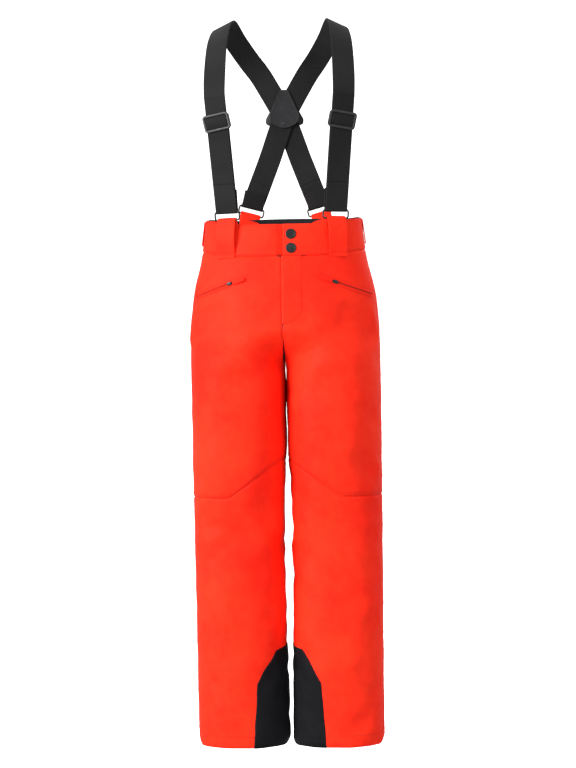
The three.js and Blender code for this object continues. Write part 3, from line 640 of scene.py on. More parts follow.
@dataclass(frozen=True)
class MouldedPlastic(Finish):
    """Moulded plastic: a fine spark-eroded grain and handling marks."""

    name: str
    slot: str
    colour: Colour
    worn: Colour
    roughness: float = 0.42

    def build(self, graph: Graph) -> bpy.types.Material:
        """Makes the grain and wear nodes."""
        grain = graph.noise(2600, 2)
        marks = graph.noise(120, 5)
        wear = marks.between(0.5, 0.72)
        return graph.surface(
            {"Specular IOR Level": 0.32},
            Base_Color=graph.mix(wear * 0.6, self.colour, self.worn),
            Roughness=self.roughness + (marks - 0.5) * 0.25,
            Normal=graph.bump(grain, 0.00005, 0.5),
        )


@dataclass(frozen=True)
class CoatedWire(Finish):
    """Steel wire with a dark coating that has thinned in places."""

    name: str
    slot: str
    colour: Colour
    bare: Colour
    metallic: float = 0.75

    def build(self, graph: Graph) -> bpy.types.Material:
        """Makes the coating nodes."""
        patches = graph.noise(260, 4)
        thin = patches.between(0.58, 0.7)
        return graph.surface(
            {"Specular IOR Level": 0.5},
            Base_Color=graph.mix(thin * 0.5, self.colour, self.bare),
            Roughness=0.34 + (patches - 0.5) * 0.3,
            Metallic=thin * 0.3 + self.metallic * 0.7,
            Normal=graph.bump(patches, 0.00005, 0.4),
        )


@dataclass(frozen=True)
class Thread(Finish):
    """Twisted sewing thread."""

    name: str
    slot: str
    colour: Colour
    deep: Colour

    def build(self, graph: Graph) -> bpy.types.Material:
        """Makes the twist nodes."""
        twist = graph.noise(1500, 2)
        return graph.surface(
            {"Specular IOR Level": 0.3},
            Base_Color=graph.mix(twist, self.deep, self.colour),
            Roughness=0.55 + (twist - 0.5) * 0.2,
            Normal=graph.bump(twist, 0.00008, 0.6),
        )


@dataclass(frozen=True)
class Floor(Finish):
    """A pale painted floor."""

    name: str = "pale_floor"
    slot: str = "stage"
    tone: float = 0.9

    def build(self, graph: Graph) -> bpy.types.Material:
        """Makes the floor's nodes."""
        patches = graph.noise(1.5, 3)
        light = (self.tone,) * 3
        return graph.surface(
            {"Emission Strength": 1.0, "Emission Color": (1, 1, 1, 1), "Specular IOR Level": 0.1},
            Base_Color=graph.mix(patches, tuple(0.98 * c for c in light), light),
            Roughness=0.9 + (patches - 0.5) * 0.1,
        )


SHELL_CLOTH = WovenCloth("shell_cloth", "shell_cloth", (0.96, 0.034, 0.011), (0.88, 0.015, 0.006))
TRIM_CLOTH = WovenCloth("shell_trim", "shell_trim", (0.95, 0.03, 0.011), (0.86, 0.014, 0.006), crinkle=0.0002)
GUARD_CLOTH = WovenCloth(
    "guard_cloth", "black_cloth", (0.009, 0.009, 0.0115), (0.0035, 0.0035, 0.0045), thread=0.0011, weave_depth=0.00012,
    sheen=0.03, sheen_tint=(0.7, 0.72, 0.8), roughness=0.7,
)
LINING_CLOTH = WovenCloth(
    "lining_cloth", "lining", (0.02, 0.019, 0.022), (0.01, 0.01, 0.011), thread=0.0005, sheen=0.06,
    sheen_tint=(0.6, 0.6, 0.7), roughness=0.5,
)
WEBBING = RibbedWebbing("webbing", "webbing", (0.013, 0.0125, 0.013), (0.0045, 0.0043, 0.0045))
HARDWARE = MouldedPlastic("hardware", "hardware", (0.012, 0.012, 0.013), (0.03, 0.03, 0.032))
YOKE_PLASTIC = MouldedPlastic("yoke_plastic", "hardware", (0.007, 0.007, 0.009), (0.016, 0.016, 0.019), roughness=0.6)
SNAP_PAINT = MouldedPlastic("snap_paint", "hardware", (0.0075, 0.0082, 0.0088), (0.02, 0.022, 0.023), roughness=0.45)
WIRE = CoatedWire("wire", "wire", (0.02, 0.02, 0.021), (0.3, 0.29, 0.28))
# Red thread, darker than the shell cloth: its own red colour, darkened as painted shade that stands for the shadow
# along each needle line.
SHADED_RED_THREAD = Thread("red_thread_painted_shade", "shell_trim", (0.52, 0.009, 0.004), (0.26, 0.004, 0.002))
BLACK_THREAD = Thread("black_thread", "webbing", (0.012, 0.012, 0.014), (0.004, 0.004, 0.005))
COIL = Thread("zip_coil", "shell_trim", (0.42, 0.03, 0.012), (0.22, 0.012, 0.006))


# ---- the shell surface ----
@dataclass(frozen=True)
class ShellForm:
    """The garment's outer surface, before any fold or crease.

    u runs from the centre seam or inseam, at 0, to the side seam, at 1.
    """

    waist_half_width: float = 125
    hip_half_width: float = 151
    hem_half_width: float = 148
    waist_depths: Pair = (82, 84)
    hip_depths: Pair = (100, 116)
    fold_fullness: Pair = (0.7, 0.5)
    knee_depth: float = 76
    hem_depth: float = 69
    rim_rise: float = 21
    side_rise: float = 8
    band_height: float = 50
    split_top: float = -165
    crotch: float = -245
    fold_bottom: float = -345
    knee: float = -500
    hem: float = -819
    knee_seam_outer: float = -426
    knee_seam_inner: float = -362
    knee_seam_corners: Pair = (88, 44)
    roundness: float = 2.3
    crotch_fullness: float = 0.12
    hem_corner: float = 9

    @cached_property
    def half_width(self) -> Profile:
        """Half the garment's width at each height."""
        waist, hip = self.waist_half_width, self.hip_half_width
        return Profile(
            (self.rim_rise, waist), (0, waist),
            *((-drop, lerp(waist, hip, share)) for drop, share in ((50, 0.28), (100, 0.74), (145, 0.95))),
            (self.split_top, hip), (self.fold_bottom, hip), (self.hem, self.hem_half_width),
        )

    def _depth(self, i: int) -> Profile:
        """The front's or the back's depth at each height."""
        waist, hip = self.waist_depths[i], self.hip_depths[i]
        return Profile(
            (self.rim_rise, waist), (0, waist), (self.split_top, hip),
            (self.fold_bottom, lerp(self.knee_depth, hip, self.fold_fullness[i])),
            (self.knee, self.knee_depth), (self.hem, self.hem_depth),
        )

    @cached_property
    def depths(self) -> tuple[Profile, Profile]:
        """The front's and the back's depth at each height."""
        return self._depth(0), self._depth(1)

    @cached_property
    def inner_gap(self) -> Profile:
        """How far each leg's inseam is from the centre plane."""
        return Profile(
            (self.crotch, 0.6), (self.fold_bottom, 0.8), (-425, 5.2), (self.knee, 7), (-575, 6), (self.hem, 3.2)
        )

    def power(self, v: Array) -> Array:
        """The rounding of the body's square section."""
        return np.sign(v) * np.abs(v) ** (2 / self.roundness)

    def _section(self, face: Array, z: Array, inset: Array) -> tuple[Array, ...]:
        """The parts of a section that points and directions share."""
        depth = np.where(face < 0, self.depths[0](z), self.depths[1](z)) - inset
        width = self.half_width(z) - inset
        gap = self.inner_gap(z) + inset
        share = 1 - smoothstep(z, self.crotch, self.split_top)
        return depth, width, gap, (width - gap) / 2, share

    def point(self, side: Array, u: Array, face: Array, z: Array, inset: Array = 0.0) -> Array:
        """A point of the surface, or inset below it.

        Args:
            side: the sign of X.
            u: from the centre seam or inseam to the side seam.
            face: the sign of Y.
            z: the height.
            inset: how far inside the surface.

        Returns:
            The points, with X, Y and Z last.
        """
        side, u, face, z, inset = np.broadcast_arrays(side, np.clip(u, 1e-6, 1), face, z, inset)
        depth, width, gap, radius, share = self._section(face, z, inset)
        x0 = width * self.power(np.sin(u * np.pi / 2))
        y0 = depth * self.power(np.cos(u * np.pi / 2))
        x1 = gap + radius * (1 - self.power(np.cos(u * np.pi)))
        y1 = depth * self.power(np.sin(u * np.pi))
        full = 1 + self.crotch_fullness * 4 * share * (1 - share) * np.sin(u * np.pi)
        return np.stack([side * lerp(x0, x1, share), face * full * lerp(y0, y1, share), z], -1)

    def outward(self, side: Array, u: Array, face: Array, z: Array) -> Array:
        """The level direction that leaves the surface at a point."""
        side, u, face, z = np.broadcast_arrays(side, np.clip(u, 1e-6, 1), face, z)
        depth, width, _, radius, share = self._section(face, z, 0.0)
        steep = 2 * (self.roundness - 1) / self.roundness
        trunk = np.stack([np.sin(u * np.pi / 2) ** steep / width, np.cos(u * np.pi / 2) ** steep / depth], -1)
        turn = np.cos(u * np.pi)
        leg = np.stack([-np.sign(turn) * np.abs(turn) ** steep / radius, np.sin(u * np.pi) ** steep / depth], -1)
        n = lerp(unit(trunk), unit(leg), share[..., None])
        return unit(np.stack([side * n[..., 0], face * n[..., 1], np.zeros_like(z)], -1))

    def rim(self, u: Array, face: Array) -> Array:
        """The waistband's top edge: level in front, rising at the sides and towards the back."""
        back = self.rim_rise * ((1 + face * self.power(np.cos(np.clip(u, 0, 1) * np.pi / 2))) / 2) ** 1.8
        start, end = np.where(face < 0, 0.2, 0.35), np.where(face < 0, 0.75, 0.95)
        return back + self.side_rise * smoothstep(u, start, end)

    def band_bottom(self, u: Array, face: Array) -> Array:
        """The seam under the waistband."""
        return self.rim(u, face) - self.band_height

    def knee_seam(self, u: Array, face: Face) -> Array:
        """The seam over the knee: level on the outer side, then rising to the inseam."""
        x = np.abs(self.point(1, u, face, self.knee_seam_outer)[..., 0])
        corner = self.knee_seam_corners[0 if face < 0 else 1]
        return lerp(self.knee_seam_inner, self.knee_seam_outer, np.minimum(x / corner, 1))

    def hem_line(self, u: Array) -> Array:
        """The leg's lower edge, which lifts a little at its two side folds."""
        x = np.abs(self.point(1, u, Face.FRONT, self.hem)[..., 0])
        low = self.inner_gap(self.hem)
        edge = np.minimum(x - low, self.hem_half_width - x)
        near = 1 - np.clip(edge / self.hem_corner, 0, 1)
        return self.hem + self.hem_corner * near**2.2

    def trunk_u(self, x: Array, z: Array) -> Array:
        """The u of a distance x from the centre, above the leg split."""
        share = np.clip(np.abs(x) / self.half_width(z), 0, 1)
        return np.arcsin(share ** (self.roundness / 2)) * 2 / np.pi

    def leg_u(self, width: Array, z: Array) -> Array:
        """The u of a width measured outwards from the inseam, below the leg split."""
        c = 1 - width * 2 / (self.half_width(z) - self.inner_gap(z))
        return np.arccos(np.sign(c) * np.abs(c) ** (self.roundness / 2)) / np.pi


@dataclass(frozen=True)
class Fold:
    """One soft crease along a path of (x, z), on one face of one side."""

    side: Side
    face: Face
    path: tuple[Pair, ...]
    width: float
    height: float
    lean: float = 1.6

    def lift(self, x: Array, z: Array) -> Array:
        """How far the crease moves the cloth out at points (x, z)."""
        route = catmull_rom(np.array([(*p, 0) for p in self.path], float), np.linspace(0, 1, 13))[:, :2]
        best, lift = np.full(x.shape, 1e9), np.zeros(x.shape)
        for i, (a, b) in enumerate(zip(route, route[1:])):
            d = b - a
            t = np.clip(((x - a[0]) * d[0] + (z - a[1]) * d[1]) / (d @ d), 0, 1)
            px, pz = x - a[0] - t * d[0], z - a[1] - t * d[1]
            near = np.hypot(px, pz)
            above = (px * d[1] - pz * d[0]) < 0
            spread = np.where(above, self.width * self.lean, self.width)
            fade = np.sin(np.pi * np.clip((i + t) / (len(route) - 1), 0, 1)) ** 0.7
            bump = np.exp(-((near / spread) ** 2)) - 0.35 * np.exp(-((near / spread / 2.2) ** 2))
            closer = near < best
            lift = np.where(closer, bump * fade, lift)
            best = np.where(closer, near, best)
        return lift * self.height


LEFT, RIGHT, FRONT, BACK = Side.LEFT, Side.RIGHT, Face.FRONT, Face.BACK
FOLDS = (
    Fold(LEFT, FRONT, ((86, -494), (97, -526), (130, -545)), 6, -3.4),
    Fold(LEFT, FRONT, ((96, -506), (108, -530), (138, -538)), 8, 2.4),
    Fold(LEFT, FRONT, ((122, -366), (130, -392), (142, -414)), 6, -2.6),
    Fold(LEFT, FRONT, ((104, -474), (120, -484), (140, -486)), 7, -2.0),
    Fold(LEFT, FRONT, ((12, -500), (24, -530), (30, -590)), 11, 2.6),
    Fold(LEFT, FRONT, ((146, -572), (128, -596), (108, -618)), 9, 2.2),
    Fold(LEFT, FRONT, ((30, -640), (56, -690), (92, -742)), 22, 2.0),
    Fold(LEFT, FRONT, ((8, -262), (34, -300), (46, -356)), 16, 3.0),
    Fold(LEFT, FRONT, ((60, -178), (96, -230), (118, -320)), 26, 2.4),
    Fold(LEFT, FRONT, ((112, -640), (118, -700), (112, -780)), 18, -2.2),
    Fold(RIGHT, FRONT, ((-38, -284), (-26, -312), (-12, -344)), 13, -3.2),
    Fold(RIGHT, FRONT, ((-64, -252), (-46, -312), (-28, -360)), 20, 2.8),
    Fold(RIGHT, FRONT, ((-38, -384), (-30, -420), (-30, -474)), 12, -3.0),
    Fold(RIGHT, FRONT, ((-26, -500), (-38, -548), (-34, -604)), 14, -2.4),
    Fold(RIGHT, FRONT, ((-138, -474), (-120, -462), (-98, -456)), 7, 2.4),
    Fold(RIGHT, FRONT, ((-136, -492), (-112, -500), (-98, -524)), 8, 1.8),
    Fold(RIGHT, FRONT, ((-134, -532), (-118, -524), (-100, -510)), 6, -1.8),
    Fold(RIGHT, FRONT, ((-142, -636), (-128, -620), (-108, -606)), 9, 2.2),
    Fold(RIGHT, FRONT, ((-30, -600), (-52, -650), (-66, -720)), 20, 2.2),
    Fold(RIGHT, FRONT, ((-96, -190), (-84, -262), (-70, -330)), 28, 2.0),
    Fold(LEFT, FRONT, ((18, -170), (14, -196), (8, -226)), 9, 1.8),
    Fold(RIGHT, FRONT, ((-14, -176), (-10, -202), (-6, -230)), 8, -1.6),
    *(
        Fold(side, BACK, tuple((side * x, z) for x, z in path), width, height)
        for side in (LEFT, RIGHT)
        for path, width, height in (
            (((10, -214), (40, -252), (92, -276)), 12, -4.2),
            (((12, -240), (46, -282), (100, -300)), 14, 3.6),
            (((22, -300), (62, -326), (110, -330)), 13, -3.0),
            (((30, -462), (72, -478), (120, -470)), 11, -4.0),
            (((26, -492), (76, -506), (126, -494)), 11, 4.0),
            (((34, -524), (74, -540), (118, -532)), 11, -3.4),
            (((60, -120), (84, -170), (92, -240)), 26, 2.6),
            (((54, -590), (70, -670), (66, -770)), 24, 2.6),
        )
    ),
)


# ---- the draped cloth ----
@dataclass
class Drape:
    """The slack in the cloth, found by a cloth simulation held at its seams.

    The shell is laid out as one welded grid that is cut a little too large, so that it buckles.
    """

    form: ShellForm
    columns: int = 26
    rows: int = 88
    slack: float = 0.012
    pressure: float = 0.2
    frames: int = 18
    limit: float = 4.5

    def __post_init__(self) -> None:
        """Starts with no slack at all."""
        self.moves = np.zeros((2, 2, self.rows + 1, self.columns + 1, 3))
        self.heights = np.linspace(-self.form.band_height, self.form.hem, self.rows + 1)

    def _rise(self, u: Array, face: Array, z: Array) -> Array:
        """How far a row is lifted to follow the waist seam."""
        return (self.form.band_bottom(u, face) + self.form.band_height) * smoothstep(z, -150, -50)

    def _grid(self) -> tuple[Array, Array]:
        """The grid's points, and one number for each place where places that touch share one."""
        u = np.linspace(0, 1, self.columns + 1)
        z = self.heights[:, None] * np.ones_like(u)
        points = np.stack([
            np.stack([self.form.point(s, u, f, z + self._rise(u, f, z)) for f in (FRONT, BACK)])
            for s in (LEFT, RIGHT)
        ])
        index = np.arange(points[..., 0].size).reshape(points.shape[:-1])
        index[:, 1, :, -1] = index[:, 0, :, -1]
        split = self.heights >= self.form.crotch
        index[1, :, split, 0] = index[0, :, split, 0]
        index[:, 1, ~split, 0] = index[:, 0, ~split, 0]
        return points, index

    def _hold(self, u: Array, z: Array) -> Array:
        """How firmly each place is held: fully at the waist, firmly at the seams."""
        seam = np.maximum(0.35 * np.exp(-((u * 14) ** 2)), 0.92 * np.exp(-(((1 - u) * 8) ** 2)))
        ends = np.maximum(smoothstep(z, -120, -60), 0.9 * smoothstep(-z, -self.form.hem - 14, -self.form.hem))
        knee = 0.3 * np.exp(-(((z + 420) / 10) ** 2))
        return np.clip(np.maximum(np.maximum(seam, knee), ends) + 0.02, 0, 1)

    def simulate(self) -> None:
        """Runs the simulation and keeps how far each place of the grid moved."""
        points, index = self._grid()
        flat = points.reshape(-1, 3)
        used, number = np.unique(index, return_inverse=True)
        number = number.reshape(index.shape)
        start = flat[used].copy()
        wobble = np.stack([ripple(start[:, 2] + k * start[:, 0], 70 + 13 * k, k) for k in range(3)], -1)
        cells = np.stack(
            [number[..., :-1, :-1], number[..., 1:, :-1], number[..., 1:, 1:], number[..., :-1, 1:]], -1
        )
        flips = np.array([[1, -1], [-1, 1]])
        faces = []
        for s in range(2):
            for f in range(2):
                part = cells[s, f].reshape(-1, 4)
                faces += (part if flips[s, f] > 0 else part[:, ::-1]).tolist()
        mesh = bpy.data.meshes.new("slack_grid")
        mesh.from_pydata(((start + 0.35 * wobble) * MM).tolist(), [], faces)
        mesh.validate()
        sheet = bpy.data.objects.new("slack_grid", mesh)
        bpy.context.scene.collection.objects.link(sheet)
        group = sheet.vertex_groups.new(name="held")
        u = np.broadcast_to(np.linspace(0, 1, self.columns + 1), index.shape).ravel()[used]
        z = np.broadcast_to(self.heights[:, None], index.shape).ravel()[used]
        for i, weight in enumerate(self._hold(u, z)):
            group.add([i], float(weight), "REPLACE")
        modifier = sheet.modifiers.new("slack", "CLOTH")
        modifier.settings.effector_weights.gravity = 0
        for key, value in {
            "quality": 6, "mass": 0.25, "tension_stiffness": 18, "compression_stiffness": 18, "shear_stiffness": 6,
            "bending_stiffness": 1.2, "air_damping": 3, "vertex_group_mass": "held", "pin_stiffness": 0.6,
            "shrink_min": -self.slack, "use_pressure": True, "uniform_pressure_force": self.pressure,
        }.items():
            setattr(modifier.settings, key, value)
        modifier.point_cache.frame_start = 1
        modifier.point_cache.frame_end = self.frames
        scene = bpy.context.scene
        for step in range(1, self.frames + 1):
            scene.frame_set(step)
        settled = sheet.evaluated_get(bpy.context.evaluated_depsgraph_get()).to_mesh()
        ended = np.empty(len(settled.vertices) * 3)
        settled.vertices.foreach_get("co", ended)
        scene.frame_set(1)
        bpy.data.objects.remove(sheet)
        bpy.data.meshes.remove(mesh)
        moved = ended.reshape(-1, 3) / MM - start
        size = np.linalg.norm(moved, axis=-1, keepdims=True)
        moved *= self.limit * np.tanh(size / self.limit) / np.maximum(size, 1e-6)
        self.moves = moved[number]
        log.info("slack: largest %.1f mm, mean %.2f mm", size.max(), size.mean())

    def move(self, side: Array, u: Array, face: Array, z: Array) -> Array:
        """How far the slack moves each place, smoothly between the grid's places."""
        side, u, face, z = np.broadcast_arrays(side, np.clip(u, 0, 1), face, z)
        level = z.astype(float)
        for _ in range(3):
            level = z - self._rise(u, face, level)
        row = np.interp(-level, -self.heights, np.arange(self.rows + 1.0))
        col = u * self.columns
        s, f = (side < 0).astype(int), (face > 0).astype(int)
        total = np.zeros((*u.shape, 3))
        row_start = np.clip(np.floor(row).astype(int), 0, self.rows - 1)
        col_start = np.clip(np.floor(col).astype(int), 0, self.columns - 1)
        for i, row_weight in enumerate(self._weights(row - row_start)):
            for j, col_weight in enumerate(self._weights(col - col_start)):
                r = np.clip(row_start + i - 1, 0, self.rows)
                c = np.clip(col_start + j - 1, 0, self.columns)
                total += (row_weight * col_weight)[..., None] * self.moves[s, f, r, c]
        return total

    @staticmethod
    def _weights(t: Array) -> tuple[Array, ...]:
        """The four weights of a smooth curve between the middle two of four places."""
        return (
            (1 - t) ** 3 / 6,
            (3 * t**3 - 6 * t**2 + 4) / 6,
            (-3 * t**3 + 3 * t**2 + 3 * t + 1) / 6,
            t**3 / 6,
        )


@dataclass
class Cloth:
    """The surface that every sewn piece lies on: the form with its folds, creases and slack."""

    form: ShellForm
    drape: Drape
    folds: Sequence[Fold] = FOLDS

    def calm(self, x: Array, face: Array, z: Array) -> Array:
        """How far folds may go: not at all on the waistband, and little near the fly and pockets."""
        free = 1 - smoothstep(z, -130, -62)
        fly = np.exp(-((np.maximum(np.abs(x - 16) - 14, 0) / 12) ** 2)) * smoothstep(z, -175, -150) * (face < 0)
        pocket = np.exp(-(((z + lerp(90, 110, (np.abs(x) - 77) / 62)) / 22) ** 4)) * (face < 0)
        return free * (1 - 0.94 * np.clip(np.maximum(fly, pocket), 0, 1))

    def creases(self, side: Array, u: Array, face: Array, z: Array, x: Array) -> Array:
        """The height of the sewn-in folds and broad undulations."""
        lift = np.zeros(x.shape)
        for fold in self.folds:
            here = (side == fold.side) & (face == fold.face)
            if here.any():
                lift = lift + np.where(here, fold.lift(x, z), 0)
        around = u * 220 * face
        broad = 0.9 * ripple(around + 0.16 * z, 120, 1.7 + side) + 0.7 * ripple(z + 0.3 * around, 170, 0.4 + side)
        fine = 0.22 * ripple(z - 0.5 * around, 46, 2.9 + side) + 0.16 * ripple(around + 0.7 * z, 31, 5.1 + side)
        quiet = np.sin(np.pi * np.clip(u, 0, 1)) ** 0.6
        return lift + (broad + fine) * quiet

    def surface(self, side: Array, u: Array, face: Array, z: Array, lift: Array = 0.0) -> Array:
        """Points on the draped cloth.

        Args:
            side: the sign of X.
            u: from the centre seam or inseam to the side seam.
            face: the sign of Y.
            z: the height.
            lift: how far outside the cloth.

        Returns:
            The points, with X, Y and Z last.
        """
        side, u, face, z, lift = np.broadcast_arrays(side, u, face, z, lift)
        base = self.form.point(side, u, face, z)
        outward = self.form.outward(side, u, face, z)
        calm = self.calm(base[..., 0], face, z)
        raised = lift + calm * self.creases(side, u, face, z, base[..., 0])
        moved = self.drape.move(side, u, face, z) * calm[..., None]
        place = base + outward * raised[..., None] + moved
        centre = (self.form.inner_gap(z) * 0.35) * smoothstep(-z, 245, 260)
        place[..., 0] = side * np.maximum(side * place[..., 0], centre)
        return place

    def on_front(self, x: Array, z: Array, lift: Array = 0.0) -> Array:
        """Points on the front of the trunk at (x, z)."""
        x, z = np.broadcast_arrays(np.asarray(x, float), z)
        return self.surface(np.where(x < 0, -1, 1), self.form.trunk_u(x, z), FRONT, z, lift)


def tuck(distance: Array, depth: float, width: float = 2.2) -> Array:
    """How far cloth dips towards a seam that is a distance away."""
    return -depth * np.exp(-((distance / width) ** 2))


def pucker(distance: Array, along: Array, depth: float, seed: float, pitch: float = 9.5) -> Array:
    """The gathers beside a sewn seam, which die away from it."""
    return depth * ripple(along, pitch, seed) * np.exp(-distance / 7) * (1 - np.exp(-((distance / 1.5) ** 2)))


@dataclass
class Panel:
    """One cut piece of cloth on one face of one side, between two edge lines."""

    cloth: Cloth
    side: Side
    face: Face
    height_at: Callable[[Array, Array], Array]
    rows: int
    columns: int = 64
    thickness: float = 2.6
    seam_depth: float = 1.3
    pucker_depth: float = 0.5
    foot_depth: float = 1.3

    def solid(self) -> Solid:
        """The panel's mesh, with its edges turned in and its inner side lined."""
        u = crowded_ends(self.columns)[None, :] * np.ones((self.rows + 1, 1))
        z = self.height_at(u, crowded_ends(self.rows)[:, None])
        base = self.cloth.form.point(self.side, u, self.face, z)
        across, along = arc_lengths(base, 1), arc_lengths(base, 0)
        left, right = across, across[:, -1:] - across
        top, foot = along, along[-1:] - along
        lift = sum(tuck(d, self.seam_depth) for d in (left, right, top)) + tuck(foot, self.foot_depth)
        for i, (distance, line) in enumerate(((left, along), (right, along), (top, across), (foot, across))):
            lift = lift + pucker(distance, line, self.pucker_depth, 1.9 * i + self.side + 3 * self.face)
        thick = self.thickness * np.ones_like(z)
        if self.face is FRONT:
            x = base[..., 0]
            thick = np.where((np.abs(x - 16) < 24) & (z > -170), 1.1, thick)
        outer = self.cloth.surface(self.side, u, self.face, z, np.maximum(lift, -1.8))
        inner = self.cloth.surface(self.side, u, self.face, z, -thick)
        return slab(outer, inner, lined=True)


class ThreadWork:
    """A run of separate stitches, gathered into one mesh."""

    RINGS = ((-1.0, 0.15), (-0.62, 0.85), (0.0, 1.0), (0.62, 0.85), (1.0, 0.15))
    SPOKES = 6

    def __init__(self, pitch: float = 3.1, length: float = 2.3, radius: float = 0.36) -> None:
        """Starts with no stitches."""
        self.pitch, self.length, self.radius = pitch, length, radius
        self.parts: list[Array] = []

    def row(self, points: Array, outward: Array) -> None:
        """Adds a row of stitches.

        Args:
            points: the places that the row passes, on the cloth.
            outward: the direction that leaves the cloth, at each or at all of them.
        """
        outward = np.broadcast_to(outward, points.shape)
        run = np.concatenate([[0], np.cumsum(np.linalg.norm(np.diff(points, axis=0), axis=-1))])
        count = max(int(run[-1] / self.pitch), 1)
        middle = (np.arange(count) + 0.5) * run[-1] / count
        centre, ahead, back, out = (
            np.stack([np.interp(middle + step, run, values[:, k]) for k in range(3)], -1)
            for step, values in ((0, points), (0.5, points), (-0.5, points), (0, outward))
        )
        out = unit(out)
        line = unit(ahead - back)
        across = np.cross(line, out)
        spokes = np.linspace(0, 2 * np.pi, self.SPOKES, endpoint=False)
        rings = []
        for place, girth in self.RINGS:
            spine = centre + line * (place * self.length / 2) + out * (self.radius * (0.55 - 1.1 * place**2))
            turn = across[:, None] * np.cos(spokes)[:, None] + out[:, None] * np.sin(spokes)[:, None]
            rings.append(spine[:, None] + turn * self.radius * girth)
        self.parts.append(np.stack(rings, 1))

    def across(self, frames: Frames, i: int, width: float, lift: float, steps: int = 12, way: int = 1) -> None:
        """Adds a row straight across a band, at one of its places.

        Args:
            frames: the band's places.
            i: the number of the place.
            width: how long the row is to each side of the middle.
            lift: how far off the middle of the band.
            steps: points along the row.
            way: the face of the band that it is on.
        """
        row = frames.at[i] + frames.side[i] * np.linspace(-width, width, steps)[:, None] + frames.out[i] * lift
        self.row(row, frames.out[i] * way)

    def solid(self) -> Solid:
        """All the stitches as one mesh."""
        stitches = np.concatenate(self.parts)
        one = tube(stitches[0])
        size = len(one.points)
        faces = [tuple(i + k * size for i in f) for k in range(len(stitches)) for f in one.faces]
        return Solid(stitches.reshape(-1, 3), faces, np.tile(one.uv, (len(stitches), 1)), [0] * len(faces))


